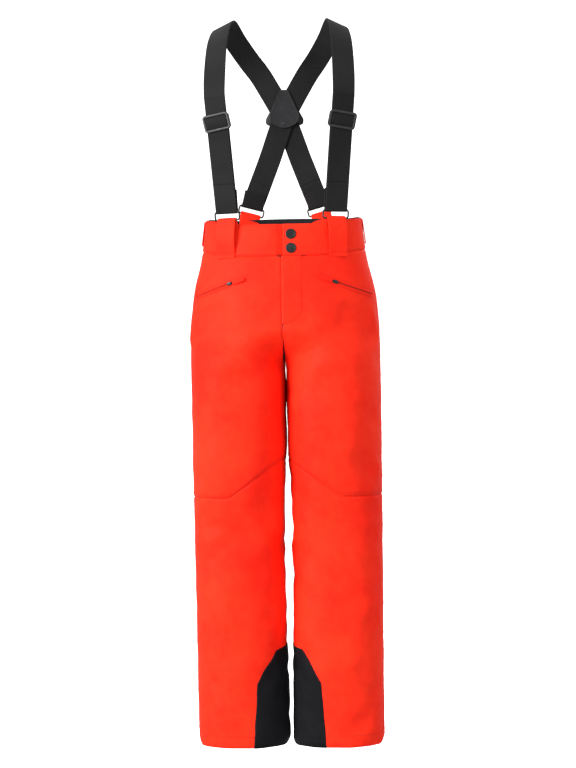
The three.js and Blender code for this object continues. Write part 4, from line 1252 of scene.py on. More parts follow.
# ---- trousers: the legs and trunk ----
@dataclass
class Trousers:
    """The cut panels from the waist seam to the hem, with their seams and leg ends."""

    cloth: Cloth
    hip_bend: Pair = (-0.245, -0.345)
    knee_bend: Pair = (-0.425, -0.575)
    guard_edge: tuple[Pair, ...] = ((-663, 2), (-668, 15.5), (-718, 45.6), (-819, 54))
    gaiter_drops: Pair = (-690, -792)
    gaiter_half_width: float = 52
    hem_stitch: float = 18
    fill: float = 0.15

    def _across_hip(self, piece: Piece, side: Side) -> None:
        """Bakes the transform of a piece that lies between the trunk and one thigh; it bends nothing."""
        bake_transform(piece)

    def _across_knee(self, piece: Piece, side: Side) -> None:
        """Bakes the transform of a piece that lies between one thigh and its shin; it bends nothing."""
        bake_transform(piece)

    def upper_height(self, face: Face) -> Callable[[Array, Array], Array]:
        """The rows of a trunk and thigh panel, from the waist seam to the knee seam."""
        form = self.cloth.form

        def height(u: Array, down: Array) -> Array:
            """The height of a place down the panel."""
            return lerp(form.band_bottom(u, face) - 0.2, form.knee_seam(u, face) + 0.1, down)

        return height

    def lower_height(self, face: Face) -> Callable[[Array, Array], Array]:
        """The rows of a lower leg panel, from the knee seam to the hem."""
        form = self.cloth.form
        middle = (form.knee_seam_inner + form.knee_seam_outer) / 2

        def height(u: Array, down: Array) -> Array:
            """The height of a place down the panel."""
            level = lerp(middle, form.hem, down)
            seam = (form.knee_seam(u, face) - middle - 0.1) * smoothstep(level, -600, middle)
            return level + seam + (form.hem_line(u) - form.hem) * smoothstep(-level, 790, 819)

        return height

    def make_panels(self, side: Side) -> None:
        """Makes one side's four shell panels."""
        s = side.label
        pieces = (
            ("front_panel", FRONT, True, ("front_panel", "hip_fold", "thigh"), 120),
            ("seat_panel", BACK, True, ("seat_panel", "hip_fold", "thigh"), 120),
            ("front_leg", FRONT, False, ("front_knee", "front_shin"), 130),
            ("back_leg", BACK, False, ("back_knee", "back_calf"), 130),
        )
        for name, face, upper, nodes, rows in pieces:
            height = self.upper_height(face) if upper else self.lower_height(face)
            panel = Panel(self.cloth, side, face, height, rows, foot_depth=1.3 if upper else 0.6)
            piece = panel.solid().dress(
                f"{name}_{s}", SHELL_CLOTH, LINING_CLOTH, nodes=[f"{node}_{s}" for node in nodes], fill=self.fill
            )
            (self._across_hip if upper else self._across_knee)(piece, side)

    def guard_width(self, z: Array) -> Array:
        """The scuff guard's half width at each height."""
        heights, widths = np.array(self.guard_edge).T
        return np.interp(-z, -heights, widths)

    def make_guard(self, side: Side) -> None:
        """Makes one leg's scuff guard: a patch over the inside of the hem."""
        form = self.cloth.form
        corners = [z for z, _ in self.guard_edge]
        rows = np.unique(np.concatenate([np.linspace(a, b, 12) for a, b in zip(corners, corners[1:])]))[::-1]
        rows = np.concatenate([rows[:1] + 1.5, rows])
        across = 2 * crowded_ends(56) - 1
        u = np.abs(across)[None, :] * form.leg_u(self.guard_width(rows), rows)[:, None]
        face = np.where(across < 0, -1, 1)[None, :] * np.ones((len(rows), 1))
        z = rows[:, None] + (form.hem_line(u) - form.hem) * smoothstep(-rows, 790, 819)[:, None]
        base = form.point(side, u, face, z)
        run = arc_lengths(base, 1)
        edge = np.minimum(run, run[:, -1:] - run)
        top = np.abs(rows - rows[0])[:, None]
        lift = 0.85 + tuck(edge, 0.95, 0.9) + tuck(top, 0.6, 1.2) + pucker(edge, z, 0.2, 2.0)
        solid = slab(*(self.cloth.surface(side, u, face, z, v) for v in (lift, -0.3)))
        solid.dress(f"scuff_guard_{side.label}", GUARD_CLOTH, body=f"shin_{side.label}")

    def make_gaiter(self, side: Side) -> None:
        """Makes one leg's snow gaiter: a gathered sleeve inside the hem, elastic at its foot."""
        form = self.cloth.form
        around = np.linspace(-1, 1, 129)[:-1]
        u, face = np.abs(around)[None, :], np.where(around < 0, -1, 1)[None, :]
        down = np.linspace(0, 1, 40)[:, None]
        z = lerp(*self.gaiter_drops, down) * np.ones_like(u)
        reach = (form.hem_half_width - form.inner_gap(form.hem)) / 2 - self.gaiter_half_width
        inset = lerp(9.5, reach, smoothstep(down, 0, 0.9))
        gather = 1.5 * ripple(around[None, :] * 260, 15, 1.2 + side) * smoothstep(down, 0.35, 1.0)
        gather = gather * (1 - 0.6 * np.exp(-(((down - 0.9) / 0.05) ** 2)))
        outer = form.point(side, u, face, z, inset - gather)
        inner = form.point(side, u, face, z, inset - gather + 0.8)
        sections = np.concatenate([outer, inner[::-1]]).transpose(1, 0, 2)
        s = side.label
        piece = tube(sections, closed=True).dress(f"snow_gaiter_{s}", LINING_CLOTH, body=f"shin_{s}")
        declare_sheet(np.concatenate([outer, outer[:, :1]], axis=1))

    def _seam_row(self, work: ThreadWork, side: Side, u: Array, face: Face, z: Array, lift: float = 0.05) -> None:
        """Adds a row of stitches over the cloth."""
        u, z = np.broadcast_arrays(u, z)
        work.row(self.cloth.surface(side, u, face, z, lift), self.cloth.form.outward(side, u, face, z))

    def make_stitching(self, side: Side) -> None:
        """Makes one side's topstitching, above and below the knee seam."""
        form, s = self.cloth.form, side.label
        upper, lower, guard = ThreadWork(), ThreadWork(), ThreadWork(radius=0.28)
        u = np.linspace(0.015, 0.985, 90)
        for face in (FRONT, BACK):
            for drop in (2.6, 6.2) if face is FRONT else (2.6,):
                self._seam_row(upper, side, u, face, form.knee_seam(u, face) + drop, -0.2 if drop < 3 else 0.1)
            down = np.linspace(0.004, 1, 140)
            centre = lerp(form.band_bottom(0, face), form.crotch + 6, down[:110])
            self._seam_row(upper, side, form.trunk_u(2.8, centre), face, centre, -0.25)
            self._seam_row(lower, side, u, face, form.hem_line(u) + self.hem_stitch, 0.0)
        outer = lerp(form.band_bottom(1, BACK) - 2, form.knee_seam_outer + 2, np.linspace(0, 1, 150))
        self._seam_row(upper, side, 1 - 0.012, BACK, outer, -0.25)
        shin = np.linspace(form.knee_seam_outer - 3, form.hem + 10, 150)
        self._seam_row(lower, side, 1 - 0.013, BACK, shin, -0.25)
        heights = np.linspace(self.guard_edge[0][0] - 3, form.hem + 3, 90)
        width = self.guard_width(heights) - 2.2
        for face in (FRONT, BACK):
            self._seam_row(guard, side, form.leg_u(np.maximum(width, 0.5), heights), face, heights, 0.9)
        for name, work, cross in (("upper", upper, self._across_hip), ("lower", lower, self._across_knee)):
            cross(work.solid().dress(f"{name}_stitching_{s}", SHADED_RED_THREAD), side)
        guard.solid().dress(f"guard_stitching_{s}", BLACK_THREAD, body=f"shin_{s}", slot="black_cloth")

    def build(self) -> None:
        """Makes both sides."""
        for side in Side:
            self.make_panels(side)
            self.make_guard(side)
            self.make_gaiter(side)
            self.make_stitching(side)


# ---- the waistband, its closure and the fly ----
@dataclass
class Waistband:
    """The padded band, the tab that laps over its front, the snaps and the stitched fly."""

    cloth: Cloth
    thickness: float = 2.4
    lap: float = 5.0
    tab_edge: float = 2
    tab_fold: float = 38
    underlap_end: float = 46
    snap_x: float = 14.5
    snap_drops: Pair = (16, 38)
    snap_radius: float = 8.2
    fly_width: float = 29
    fly_length: float = 106
    zip_width: float = 14
    crown: float = 0.7
    fill: float = 0.3

    def strip(self, start: float, end: float, face: Face, inset: Callable[[Array], Array], count: int,
              thickness: float | None = None, trim: float = 0.0, gather: float = 0.0) -> Solid:
        """A length of band between two signed places round the waist.

        Args:
            start: where it starts, from -1, one side seam, to 1, the other.
            end: where it ends.
            face: front or back.
            inset: how far below the shell each place is.
            count: steps along it.
            thickness: through it, or the band's own.
            trim: how much less its height is at each edge.
            gather: how deep its elastic gathers are.

        Returns:
            The strip.
        """
        form = self.cloth.form
        q = lerp(start, end, crowded_ends(count, 0.6))[None, :]
        side, u = np.where(q < 0, -1, 1), np.abs(q)
        down = crowded_ends(22)[:, None]
        top, bottom = form.rim(u, face) - trim, form.band_bottom(u, face) + trim
        z = lerp(top, bottom, down)
        base = form.point(side, u, face, z)
        run, fall = arc_lengths(base, 1), arc_lengths(base, 0)
        ends = np.minimum(run, run[:, -1:] - run)
        edges = np.minimum(fall, fall[-1:] - fall)
        body = self.thickness if thickness is None else thickness
        lift = self.crown * (1 - (2 * down - 1) ** 4) - inset(q) + tuck(edges, 0.9, 1.6) + tuck(ends, 0.9, 1.4)
        lift = lift + 0.25 * ripple(run, 34, 1.1 * face) * np.sin(np.pi * down)
        middle = np.sin(np.pi * down) ** 0.5
        lift = lift + gather * ripple(run, 8.5, 0.7) * middle * smoothstep(u, 0.2, 0.45)
        outer = self.cloth.surface(side, u, face, z, lift)
        inner = self.cloth.surface(side, u, face, z, -inset(q) - body)
        return slab(outer, inner)

    def q_at(self, x: float) -> float:
        """The signed place round the waist of a distance x from the centre."""
        return float(np.sign(x) * self.cloth.form.trunk_u(abs(x), 0))

    def make_band(self) -> None:
        """Makes the back, the right front with its underlap, and the lining."""
        under = (self.q_at(-9), self.q_at(self.tab_edge - 1.5))

        def dips(q: Array) -> Array:
            """The underlap drops behind the tab."""
            return self.lap * smoothstep(q, *under)

        back = self.strip(-1, 1, BACK, lambda q: 0 * q, 150, gather=0.8)
        right = self.strip(-1, self.q_at(self.underlap_end), FRONT, dips, 110)
        lining = self.strip(
            -0.93, 0.93, BACK, lambda q: self.thickness + 0.35 + 0 * q, 130, thickness=1.0, trim=-0.6, gather=0.3
        )
        for name, solid, finish in (
            ("back", back, SHELL_CLOTH), ("front_right", right, SHELL_CLOTH), ("lining", lining, LINING_CLOTH)
        ):
            solid.dress(f"waistband_{name}", finish, body="trunk", fill=self.fill)

    def _at_fold(self, piece: Piece) -> None:
        """Works out the line where the tab hinges and bakes the piece's transform; nothing bends."""
        height = -self.cloth.form.band_height / 2
        ends = [self.cloth.on_front(np.array([x]), height)[0] for x in (self.tab_fold + 6, self.tab_fold - 4)]
        bend(piece, LEFT, "closure_tab", *ends)

    def make_tab(self) -> None:
        """Makes the left front of the band, whose end is the closure tab."""
        solid = self.strip(self.q_at(self.tab_edge), 1, FRONT, lambda q: 0 * q - 0.4, 100)
        nodes = ("waistband_front_left", "closure_tab")
        self._at_fold(solid.dress(nodes[0], SHELL_CLOTH, nodes=nodes, fill=self.fill))

    def _frame(self, x: float, z: float, lift: float) -> tuple[Array, Array, Array, Array]:
        """A place on the front: its point, and the directions across, up and out."""
        at = self.cloth.on_front(np.array([x]), z, lift)[0]
        across = self.cloth.on_front(np.array([x + 2]), z, lift)[0] - at
        up = self.cloth.on_front(np.array([x]), z + 2, lift)[0] - at
        out = unit(np.cross(across, up))
        return at, unit(across), np.cross(out, unit(across)), out

    def _turned(self, place: tuple[Array, Array, Array, Array], outline: Sequence[Pair]) -> Solid:
        """A round part turned from (radius, height) steps, standing on a place."""
        at, across, up, out = place
        spokes = np.linspace(0, 2 * np.pi, 48, endpoint=False)[:, None]
        ring = across * np.cos(spokes) + up * np.sin(spokes)
        return tube(np.stack([at + ring * r + out * h for r, h in outline]))

    def make_snaps(self) -> None:
        """Makes the two snap caps on the tab and the studs under them."""
        r = self.snap_radius
        cap = (
            (0.4, 0.0), (r - 0.5, 0.0), (r, 0.35), (r + 0.05, 0.9), (r - 0.25, 1.45), (r - 0.9, 1.75),
            (r - 1.6, 1.8), (r - 2.1, 1.6), (r - 2.5, 1.42), (r - 4.5, 1.5), (r / 4, 1.62), (0.4, 1.64),
        )
        stud = ((0.3, 0), (4, 0), (4.1, 0.4), (3.4, 0.7), (2.0, 0.8), (1.9, 1.6), (1.5, 1.8), (0.3, 1.8))
        for label, drop in zip(("upper", "lower"), self.snap_drops):
            for name, lift, outline, finish, body in (
                ("snap_cap", 0.9, cap, SNAP_PAINT, "closure_tab"),
                ("snap_stud", 0.2 - self.lap, stud, HARDWARE, "trunk"),
            ):
                place = self._frame(self.snap_x, -drop, lift)
                self._turned(place, outline).dress(f"{name}_{label}", finish, body=body)

    def flap_width(self, z: Array) -> Array:
        """The fly's stitched width: straight, then curving in to the centre seam."""
        top = -self.cloth.form.band_height
        t = np.clip((top - self.fly_length + self.fly_width - z) / self.fly_width, 0, 1)
        return 2 + (self.fly_width - 2) * np.sqrt(np.clip(1 - t * t, 0, 1))

    def make_fly(self) -> None:
        """Makes the fly's flap, its stitching, and the zip behind it."""
        top = -self.cloth.form.band_height - 0.4
        z = np.linspace(top, top - self.fly_length + 0.6, 64)[:, None]
        across = crowded_ends(22)[None, :]
        x = self.tab_edge - 2.9 + (self.flap_width(z) + 1.7) * across
        lift = 0.45 + 1.3 * (1 - across) ** 1.5 + tuck(across * self.flap_width(z), 1.3, 1.2)
        lift = lift + 0.35 * ripple(z, 21, 1.0) * np.sin(np.pi * across)
        flap = slab(*(self.cloth.on_front(x, z, v) for v in (lift, 0 * lift + 0.12)))
        flap.dress("fly_flap", SHELL_CLOTH, body="trunk")
        work = ThreadWork()
        heights = np.concatenate([
            np.linspace(top - 1, top - self.fly_length + self.fly_width, 40),
            top - self.fly_length + self.fly_width * (1 - np.sin(np.linspace(0, np.pi / 2, 30))),
        ])
        for inset in (0.0, 5.0):
            line = self.tab_edge - 1 + np.maximum(self.flap_width(heights) - inset - 1, 0.5)
            shown = heights > top - self.fly_length + inset
            work.row(self.cloth.on_front(line[shown], heights[shown], 0.3), FORWARD)
        work.solid().dress("fly_stitching", SHADED_RED_THREAD, body="trunk")
        self._make_fly_zip(top - 6)

    def _make_fly_zip(self, start: float) -> None:
        """Makes the zip behind the flap: a tape with its coil, and the slider."""
        middle = self.tab_edge + self.fly_width / 2
        end = start - 89
        z = np.linspace(start, end, 40)[:, None]
        x = middle + np.linspace(-0.5, 0.5, 9)[None, :] * self.zip_width
        tape = slab(*(self.cloth.on_front(x, z, lift) for lift in (-1.35, -2.2)))
        tape.dress("fly_zip_tape", GUARD_CLOTH, body="trunk")
        coil = ThreadWork(pitch=10, length=4.6, radius=0.5)
        for height in np.arange(start - 2, end + 2, -1.7):
            coil.row(self.cloth.on_front(middle + np.array([-2.4, 2.4]), height, -2.5), -FORWARD)
        coil.solid().dress("fly_zip_coil", HARDWARE, body="trunk", slot="black_cloth")
        low, high = (np.array(corner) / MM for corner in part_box("fly_zip_slider"))
        slider = slider_body((low + high) / 2, np.array([1, 0, 0]), np.array([0, -0.105, -0.994]), high[2] - low[2], 7.0)
        slider.dress("fly_zip_slider", HARDWARE, body="fly_slider")

    def make_stitching(self) -> None:
        """Makes the band's topstitching, and the tab's own."""
        form = self.cloth.form
        band, tab = ThreadWork(), ThreadWork()
        for face, start, end, work in (
            (BACK, -0.985, 0.985, band),
            (FRONT, -0.985, self.q_at(self.tab_edge - 2.5), band),
            (FRONT, self.q_at(self.tab_edge + 2.6), 0.985, tab),
        ):
            q = np.linspace(start, end, 160)
            side, u = np.where(q < 0, -1, 1), np.abs(q)
            for height in (form.rim(u, face) - 2.6, form.band_bottom(u, face) + 2.4):
                work.row(self.cloth.surface(side, u, face, height, 0.35), self.cloth.form.outward(side, u, face, height))
        z = np.linspace(-3, -form.band_height + 3, 40)
        tab.row(self.cloth.on_front(self.tab_edge + 2.6 + 0 * z, z, 1.0), FORWARD)
        band.solid().dress("band_stitching", SHADED_RED_THREAD, body="trunk")
        self._at_fold(tab.solid().dress("tab_stitching", SHADED_RED_THREAD))

    def build(self) -> None:
        """Makes the band and everything on its front."""
        self.make_band()
        self.make_tab()
        self.make_snaps()
        self.make_fly()
        self.make_stitching()


def slider_body(at: Array, across: Array, along: Array, length: float, width: float) -> Solid:
    """A zip slider: a waisted body with a raised bridge.

    Args:
        at: its middle.
        across: the direction across the zip.
        along: the direction that it slides.
        length: along the zip.
        width: across the zip.

    Returns:
        The slider.
    """
    out = unit(np.cross(across, along))
    places = np.linspace(-0.5, 0.5, 15)
    waist = width / 2 * (0.78 + 0.22 * np.cos(places * 2 * np.pi + np.pi) ** 2 + 0.16 * places)
    square = soft_square(20, 0.5, (1, 1))
    ends = np.sqrt(np.clip(1 - np.abs(places * 2) ** 6, 0.05, 1))
    body = tube(np.stack([
        at + along * p * length + across * (square[0] * w * e)[:, None] + out * (square[1] * 1.35 * e)[:, None]
        for p, w, e in zip(places, waist, ends)
    ]))
    arch = np.linspace(0, np.pi, 13)
    turn = np.linspace(0, 2 * np.pi, 10, endpoint=False)
    bridge = []
    for a in arch:
        spine = at + along * math.cos(a) * length * 0.36 + out * (0.9 + 1.5 * math.sin(a))
        away = along * math.cos(a) + out * math.sin(a)
        bridge.append(spine + across * np.cos(turn)[:, None] * 0.9 + away * np.sin(turn)[:, None] * 0.42)
    return together(body, tube(np.stack(bridge)))


# ---- pockets ----
@dataclass
class Pocket:
    """One zipped hand pocket: its welts, coil, slider, pull and bag."""

    cloth: Cloth
    side: Side
    inner: Pair = (77, 90)
    outer: Pair = (139, 110)
    tack: Pair = (53, 82.5)
    slider_length: float = 9
    pull_length: float = 20
    pull_width: float = 7.5
    bag_depth: float = 66

    def line(self, x: Array, offset: Array = 0.0, lift: Array = 0.0) -> Array:
        """Points beside the zip.

        Args:
            x: distances from the centre.
            offset: how far above the zip.
            lift: how far off the cloth.

        Returns:
            The points.
        """
        slope = (self.outer[1] - self.inner[1]) / (self.outer[0] - self.inner[0])
        inside = (self.inner[1] - self.tack[1]) / (self.inner[0] - self.tack[0])
        drop = self.inner[1] + (x - self.inner[0]) * np.where(x > self.inner[0], slope, inside)
        lean = math.sin(math.atan(slope)) * offset
        return self.cloth.on_front(self.side * (x + lean), offset - drop, lift)

    def out(self, points: Array) -> Array:
        """The direction that leaves the cloth at each of a line's points."""
        along = np.gradient(points, axis=0) * self.side
        return unit(np.cross(unit(along), np.array([0, 0, 1.0])))

    def _lip(self, low: float, high: float) -> Solid:
        """One welt between two offsets from the zip."""
        x = lerp(self.inner[0] - 3.5, self.outer[0] + 1.0, crowded_ends(70, 0.5))[:, None]
        across = crowded_ends(10)[None, :]
        offset = lerp(low, high, across)
        edge = np.minimum(across, 1 - across) * (high - low)
        ends = np.minimum(x - x[0], x[-1] - x)
        lift = 0.15 + 1.15 * (1 - np.exp(-((edge / 0.8) ** 2))) * (1 - np.exp(-((ends / 1.2) ** 2)))
        x_grid, offset = np.broadcast_arrays(x, offset)
        return slab(self.line(x_grid, offset, lift), self.line(x_grid, offset, 0 * lift))

    def make_zip(self) -> None:
        """Makes the welts with the coil between them, and the stitching round them."""
        s = self.side.label
        lips = together(self._lip(0.75, 4.1), self._lip(-4.1, -0.75))
        lips.dress(f"pocket_zip_{s}", TRIM_CLOTH, body="trunk")
        coil = ThreadWork(pitch=10, length=2.6, radius=0.42)
        run = np.arange(self.inner[0] - 2, self.outer[0], 1.05)
        middle = self.line(run, 0, 0.35)
        out = self.out(middle)
        across = unit(np.cross(out, unit(np.gradient(middle, axis=0))))
        for point, direction, away in zip(middle, across, out):
            coil.row(np.stack([point - direction * 1.3, point + direction * 1.3]), away)
        coil.solid().dress(f"pocket_coil_{s}", COIL, body="trunk")
        work = ThreadWork(length=2.2, radius=0.26)
        run = np.linspace(self.tack[0], self.outer[0] + 3, 90)
        for offset in (-5.4, 5.4):
            row = self.line(run, offset, 0.05)
            work.row(row, self.out(row))
        tack_run = np.linspace(-5.4, 5.4, 12)
        for shift in (0.0, 0.9):
            row = self.line(self.tack[0] + shift + 0 * tack_run, tack_run, 0.15)
            work.row(row, out[0])
        work.solid().dress(f"pocket_stitching_{s}", SHADED_RED_THREAD, body="trunk")

    def make_slider(self) -> None:
        """Makes the slider and its fabric pull."""
        s = self.side.label
        low, high = (np.array(corner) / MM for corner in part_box(f"pocket_slider_{s}"))
        middle = self.line(np.linspace(self.inner[0] + 1, self.inner[0] + 1 + self.slider_length, 5), 0, 1.7)
        out = self.out(middle)[2]
        along = unit(middle[-1] - middle[0])
        across = unit(np.cross(out, along))
        at = lerp(middle[2], (low + high) / 2, 0.35)
        slider = slider_body(at, across * self.side, along * self.side, self.slider_length, 6.4)
        slider.dress(f"pocket_slider_{s}", HARDWARE, body=f"pocket_slider_{s}")
        pull_low, pull_high = (np.array(corner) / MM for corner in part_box(f"pocket_pull_{s}"))
        centre = (pull_low + pull_high) / 2
        places = crowded_ends(26, 0.7)
        tip = np.where(places > 0.9, np.sqrt(np.clip(1 - ((places - 0.9) / 0.1) ** 2, 0.1, 1)), 1.0)
        taper = lerp(0.72, 1.0, smoothstep(places, 0.0, 0.2)) * lerp(1.0, 0.8, (places > 0.9) * (1 - tip))
        rise = 0.5 * np.sin(np.pi * places) + 0.2 * ripple(places * 20, 9, 1.0)
        spine = centre + -along * (places[:, None] - 0.5) * self.pull_length + out * (rise[:, None] - 0.2)
        width = np.linspace(-0.5, 0.5, 11)
        half = 0.62 - 0.4 * np.exp(-(((0.5 - np.abs(width)) * self.pull_width / 0.5) ** 2))
        base = spine[:, None] + across * (width[None, :, None] * self.pull_width * taper[:, None, None])
        pull = slab(base + out * half[None, :, None], base - out * half[None, :, None])
        pull.dress(f"pocket_pull_{s}", TRIM_CLOTH, body=f"pocket_pull_{s}")
        work = ThreadWork(pitch=2.4, length=1.8, radius=0.2)
        for offset in (-2.4, 2.4):
            work.row(spine[3:-4] + across * offset + out * 0.66, out)
        work.solid().dress(f"pull_stitching_{s}", SHADED_RED_THREAD, body=f"pocket_pull_{s}")

    def make_bag(self) -> None:
        """Makes the bag that hangs inside the panel."""
        across, down = np.linspace(0, 1, 24)[None, :], np.linspace(0, 1, 30)[:, None]
        narrow = lerp(0, 7, smoothstep(down, 0.6, 1.0))
        x = lerp(self.inner[0] + 6 + narrow, self.outer[0] - 6 - narrow, across)
        zip_drop = lerp(self.inner[1], self.outer[1], (x - self.inner[0]) / (self.outer[0] - self.inner[0]))
        z = lerp(4 - zip_drop, -self.outer[1] - self.bag_depth, down)
        sag = 0.6 * np.sin(np.pi * across) * np.sin(np.pi * down)
        depth = -3.6 - sag
        top, under = (self.cloth.on_front(self.side * x, z, d) for d in (depth, depth - 1.6 - 2 * sag))
        piece = slab(top, under).dress(f"pocket_bag_{self.side.label}", LINING_CLOTH, body="trunk")
        declare_sheet(top)

    def build(self) -> None:
        """Makes the whole pocket."""
        self.make_zip()
        self.make_slider()
        self.make_bag()


# ---- what the straps hang from ----
@dataclass
class StrapEnd:
    """One wire link and the two things looped over its bars, on one side."""

    strap_at: Array
    side_way: Array
    out: Array
    lift: float = 2.5
    reach: float = 12.8

    @property
    def up(self) -> Array:
        """The direction from the lower bar to the upper one."""
        return unit(np.cross(self.out, self.side_way))

    @property
    def upper(self) -> Array:
        """The middle of the bar that the webbing turns round."""
        return self.strap_at - self.out * self.lift

    @property
    def lower(self) -> Array:
        """The middle of the bar that the sewn loop holds."""
        return self.upper - self.up * self.reach


@dataclass
class Hangers:
    """The belt loops, back tabs and wire links, made on the wearer's left and mirrored."""

    cloth: Cloth
    wire: float = 2.8
    ring_width: float = 44
    ring_corner: float = 3.6
    tunnel: float = 2.45
    strip: float = 1.8
    loop_width: float = 31
    tab_width: float = 33
    tab_length: float = 42
    side_loop_width: float = 22
    loop_x: float = 83
    back_x: float = 54
    ring_top: float = 20.5
    front_yaw: float = math.radians(20)
    back_yaw: float = math.radians(13)
    back_tilt: float = math.radians(14)
    straight_top: tuple[float, float, float] = (100.5, -92, 200)

    @cached_property
    def front(self) -> StrapEnd:
        """The front link's place."""
        out = np.array([math.sin(self.front_yaw), -math.cos(self.front_yaw), 0])
        side = np.array([math.cos(self.front_yaw), math.sin(self.front_yaw), 0])
        form = self.cloth.form
        middle = -form.band_height / 2
        start = form.point(1, form.trunk_u(self.loop_x, middle), FRONT, middle) + out * (5.6 + 2.5)
        start[2] = self.ring_top
        up = unit(np.array(self.straight_top) - start)
        return StrapEnd(start, side, unit(np.cross(side, up)))

    @cached_property
    def back(self) -> StrapEnd:
        """The back link's place."""
        form = self.cloth.form
        out = np.array([math.sin(self.back_yaw), math.cos(self.back_yaw), 0])
        level = np.array([-math.cos(self.back_yaw), math.sin(self.back_yaw), 0])
        side = level * math.cos(self.back_tilt) + np.array([0, 0, -math.sin(self.back_tilt)])
        start = form.point(1, form.trunk_u(self.back_x, 0), BACK, 0.0) + out * (3.3 + 1 + 2.5)
        start[2] = self.ring_top + form.rim_rise
        return StrapEnd(start, side, out)

    def _link(self, end: StrapEnd) -> Solid:
        """A round-wire link with soft corners."""
        half = (self.ring_width - self.wire) / 2, end.reach / 2
        ways = end.side_way, end.up, end.out
        section = soft_square(14, 1, (self.wire / 2, self.wire / 2))
        return soft_hoop((end.lower + end.upper) / 2, ways, half, self.ring_corner, 7, section)

    def _over_bar(self, end: StrapEnd, out: Array, up: Array, inner: Sequence[Pair],
                  outer: Sequence[Pair], width: float, lean: float = 0.0) -> tuple[Solid, Frames]:
        """A strip that comes up inside, turns over the lower bar and goes down outside.

        Args:
            end: the link.
            out: the direction that the strip faces.
            up: the direction up it.
            inner: (out, up) steps before the turn, from the bar's middle.
            outer: steps after the turn.
            width: across the strip.
            lean: how far it moves sideways down its outer side.

        Returns:
            The strip, and its places.
        """
        arc = [(-self.tunnel * math.cos(a), self.tunnel * math.sin(a)) for a in np.linspace(0, math.pi, 11)]
        steps = np.array([*inner, *arc, *outer])
        flat = np.column_stack([steps, np.zeros(len(steps))])
        fine = catmull_rom(flat, np.linspace(0, 1, 6 * len(steps)))
        at = end.lower + out * fine[:, :1] + up * fine[:, 1:2]
        level = unit(np.cross(up, out))
        fallen = smoothstep(np.arange(len(at))[:, None] / len(at), 0.55, 1.0)
        at = at + level * lean * fallen + out * 0.3 * ripple(fine[:, 1:2], 13, 0.6) * fallen
        ahead = unit(np.gradient(at, axis=0))
        side = np.broadcast_to(level, at.shape)
        facing = unit(np.cross(ahead, side))
        frames = Frames(at, side, facing)
        return frames.ribbon(width, self.strip, crown=0.25), frames

    def _out_at(self, end: StrapEnd, out: Array, x: float, z: float, face: Face, lift: float) -> float:
        """How far along out the cloth is from a link's lower bar."""
        form = self.cloth.form
        place = self.cloth.surface(1, form.trunk_u(x, z), face, z, lift)
        return float((place - end.lower) @ out)

    def make_front_loops(self) -> None:
        """Makes the two wide loops that hold the front links."""
        end = self.front
        out = np.array([math.sin(self.front_yaw), -math.cos(self.front_yaw), 0])
        up = np.array([0, 0, 1.0])
        top, foot = end.lower[2], -self.cloth.form.band_height - 1.5
        at_top = self._out_at(end, out, self.loop_x + 6, -4, FRONT, 1.2)
        at_foot = self._out_at(end, out, self.loop_x + 8, foot, FRONT, 1.3)
        near_foot = self._out_at(end, out, self.loop_x + 8, foot + 6, FRONT, 2.6)
        solid, frames = self._over_bar(
            end, out, up,
            [(at_top, -top - 8), (lerp(at_top, -self.tunnel, 0.6), -top - 1), (-self.tunnel, -5)],
            [(self.tunnel + 0.5, -5), (self.tunnel + 1.3, -top - 6), (self.tunnel + 1.6, -top - 24),
             (near_foot, foot - top + 6), (at_foot, foot - top + 1), (at_foot - 0.4, foot - top)],
            self.loop_width, lean=4.5,
        )
        self._pair("belt_loop_front", solid, SHELL_CLOTH)
        work = ThreadWork()
        for depth in (9.5, 51):
            inside = frames.at @ out < end.lower @ out
            near = int(np.argmin(np.abs(frames.at[:, 2] - (top - depth)) + 20 * inside))
            work.across(frames, near, 0.43 * self.loop_width, 1.05)
        self._pair("front_loop_stitching", work.solid(), SHADED_RED_THREAD)

    def make_back_tabs(self) -> None:
        """Makes the two tabs that hold the back links, sewn over the rim."""
        end = self.back
        drop = end.lower[2] - self.cloth.form.rim_rise
        inside = self._out_at(end, end.out, self.back_x, 10, BACK, -5.4)
        outside = self._out_at(end, end.out, self.back_x, 12, BACK, 2.4)
        low = self._out_at(end, end.out, self.back_x + 8, -10, BACK, 1.9)
        solid, frames = self._over_bar(
            end, end.out, end.up,
            [(inside, -drop - 22), (inside, -drop - 8), (lerp(inside, -self.tunnel, 0.6), -drop), (-self.tunnel, -3)],
            [(lerp(self.tunnel, outside, 0.5), -drop + 1), (outside, -drop - 4), (low, -self.tab_length + 2),
             (low - 0.6, -self.tab_length)],
            self.tab_width,
        )
        self._pair("back_tab", solid, SHELL_CLOTH)
        work = ThreadWork()
        reach = (frames.at - end.lower) @ end.up
        outer = (frames.at - end.lower) @ end.out > 0
        for depth in (-12.5, -self.tab_length + 3):
            near = int(np.argmin(np.abs(reach - depth) + 40 * ~outer))
            work.across(frames, near, 0.43 * self.tab_width, 1.05)
        self._pair("back_tab_stitching", work.solid(), SHADED_RED_THREAD)

    def make_side_loops(self) -> None:
        """Makes the loop over each side seam, standing off the band."""
        form = self.cloth.form
        heights = np.array([3.5, 1.5, -4, -14, -24, -30, -33.5, -34.5])
        stand = np.array([0.7, 0.9, 1.1, 1.2, 1.2, 1.0, 0.8, 0.7])
        steps = np.column_stack([form.half_width(heights) + stand, 0 * heights, heights + form.side_rise])
        at = catmull_rom(steps, np.linspace(0, 1, 50))
        side = np.broadcast_to([0, 1.0, 0], at.shape)
        facing = unit(np.cross(side, unit(np.gradient(at, axis=0))))
        facing = facing * np.sign(facing[:, :1])
        loop = Frames(at, side, facing).ribbon(self.side_loop_width, 1.7, crown=0.2)
        self._pair("belt_loop_side", loop, SHELL_CLOTH)

    def make_links(self) -> None:
        """Makes the four wire links."""
        self._pair("front_ring", self._link(self.front), WIRE, "")
        self._pair("back_ring", self._link(self.back), WIRE, "")

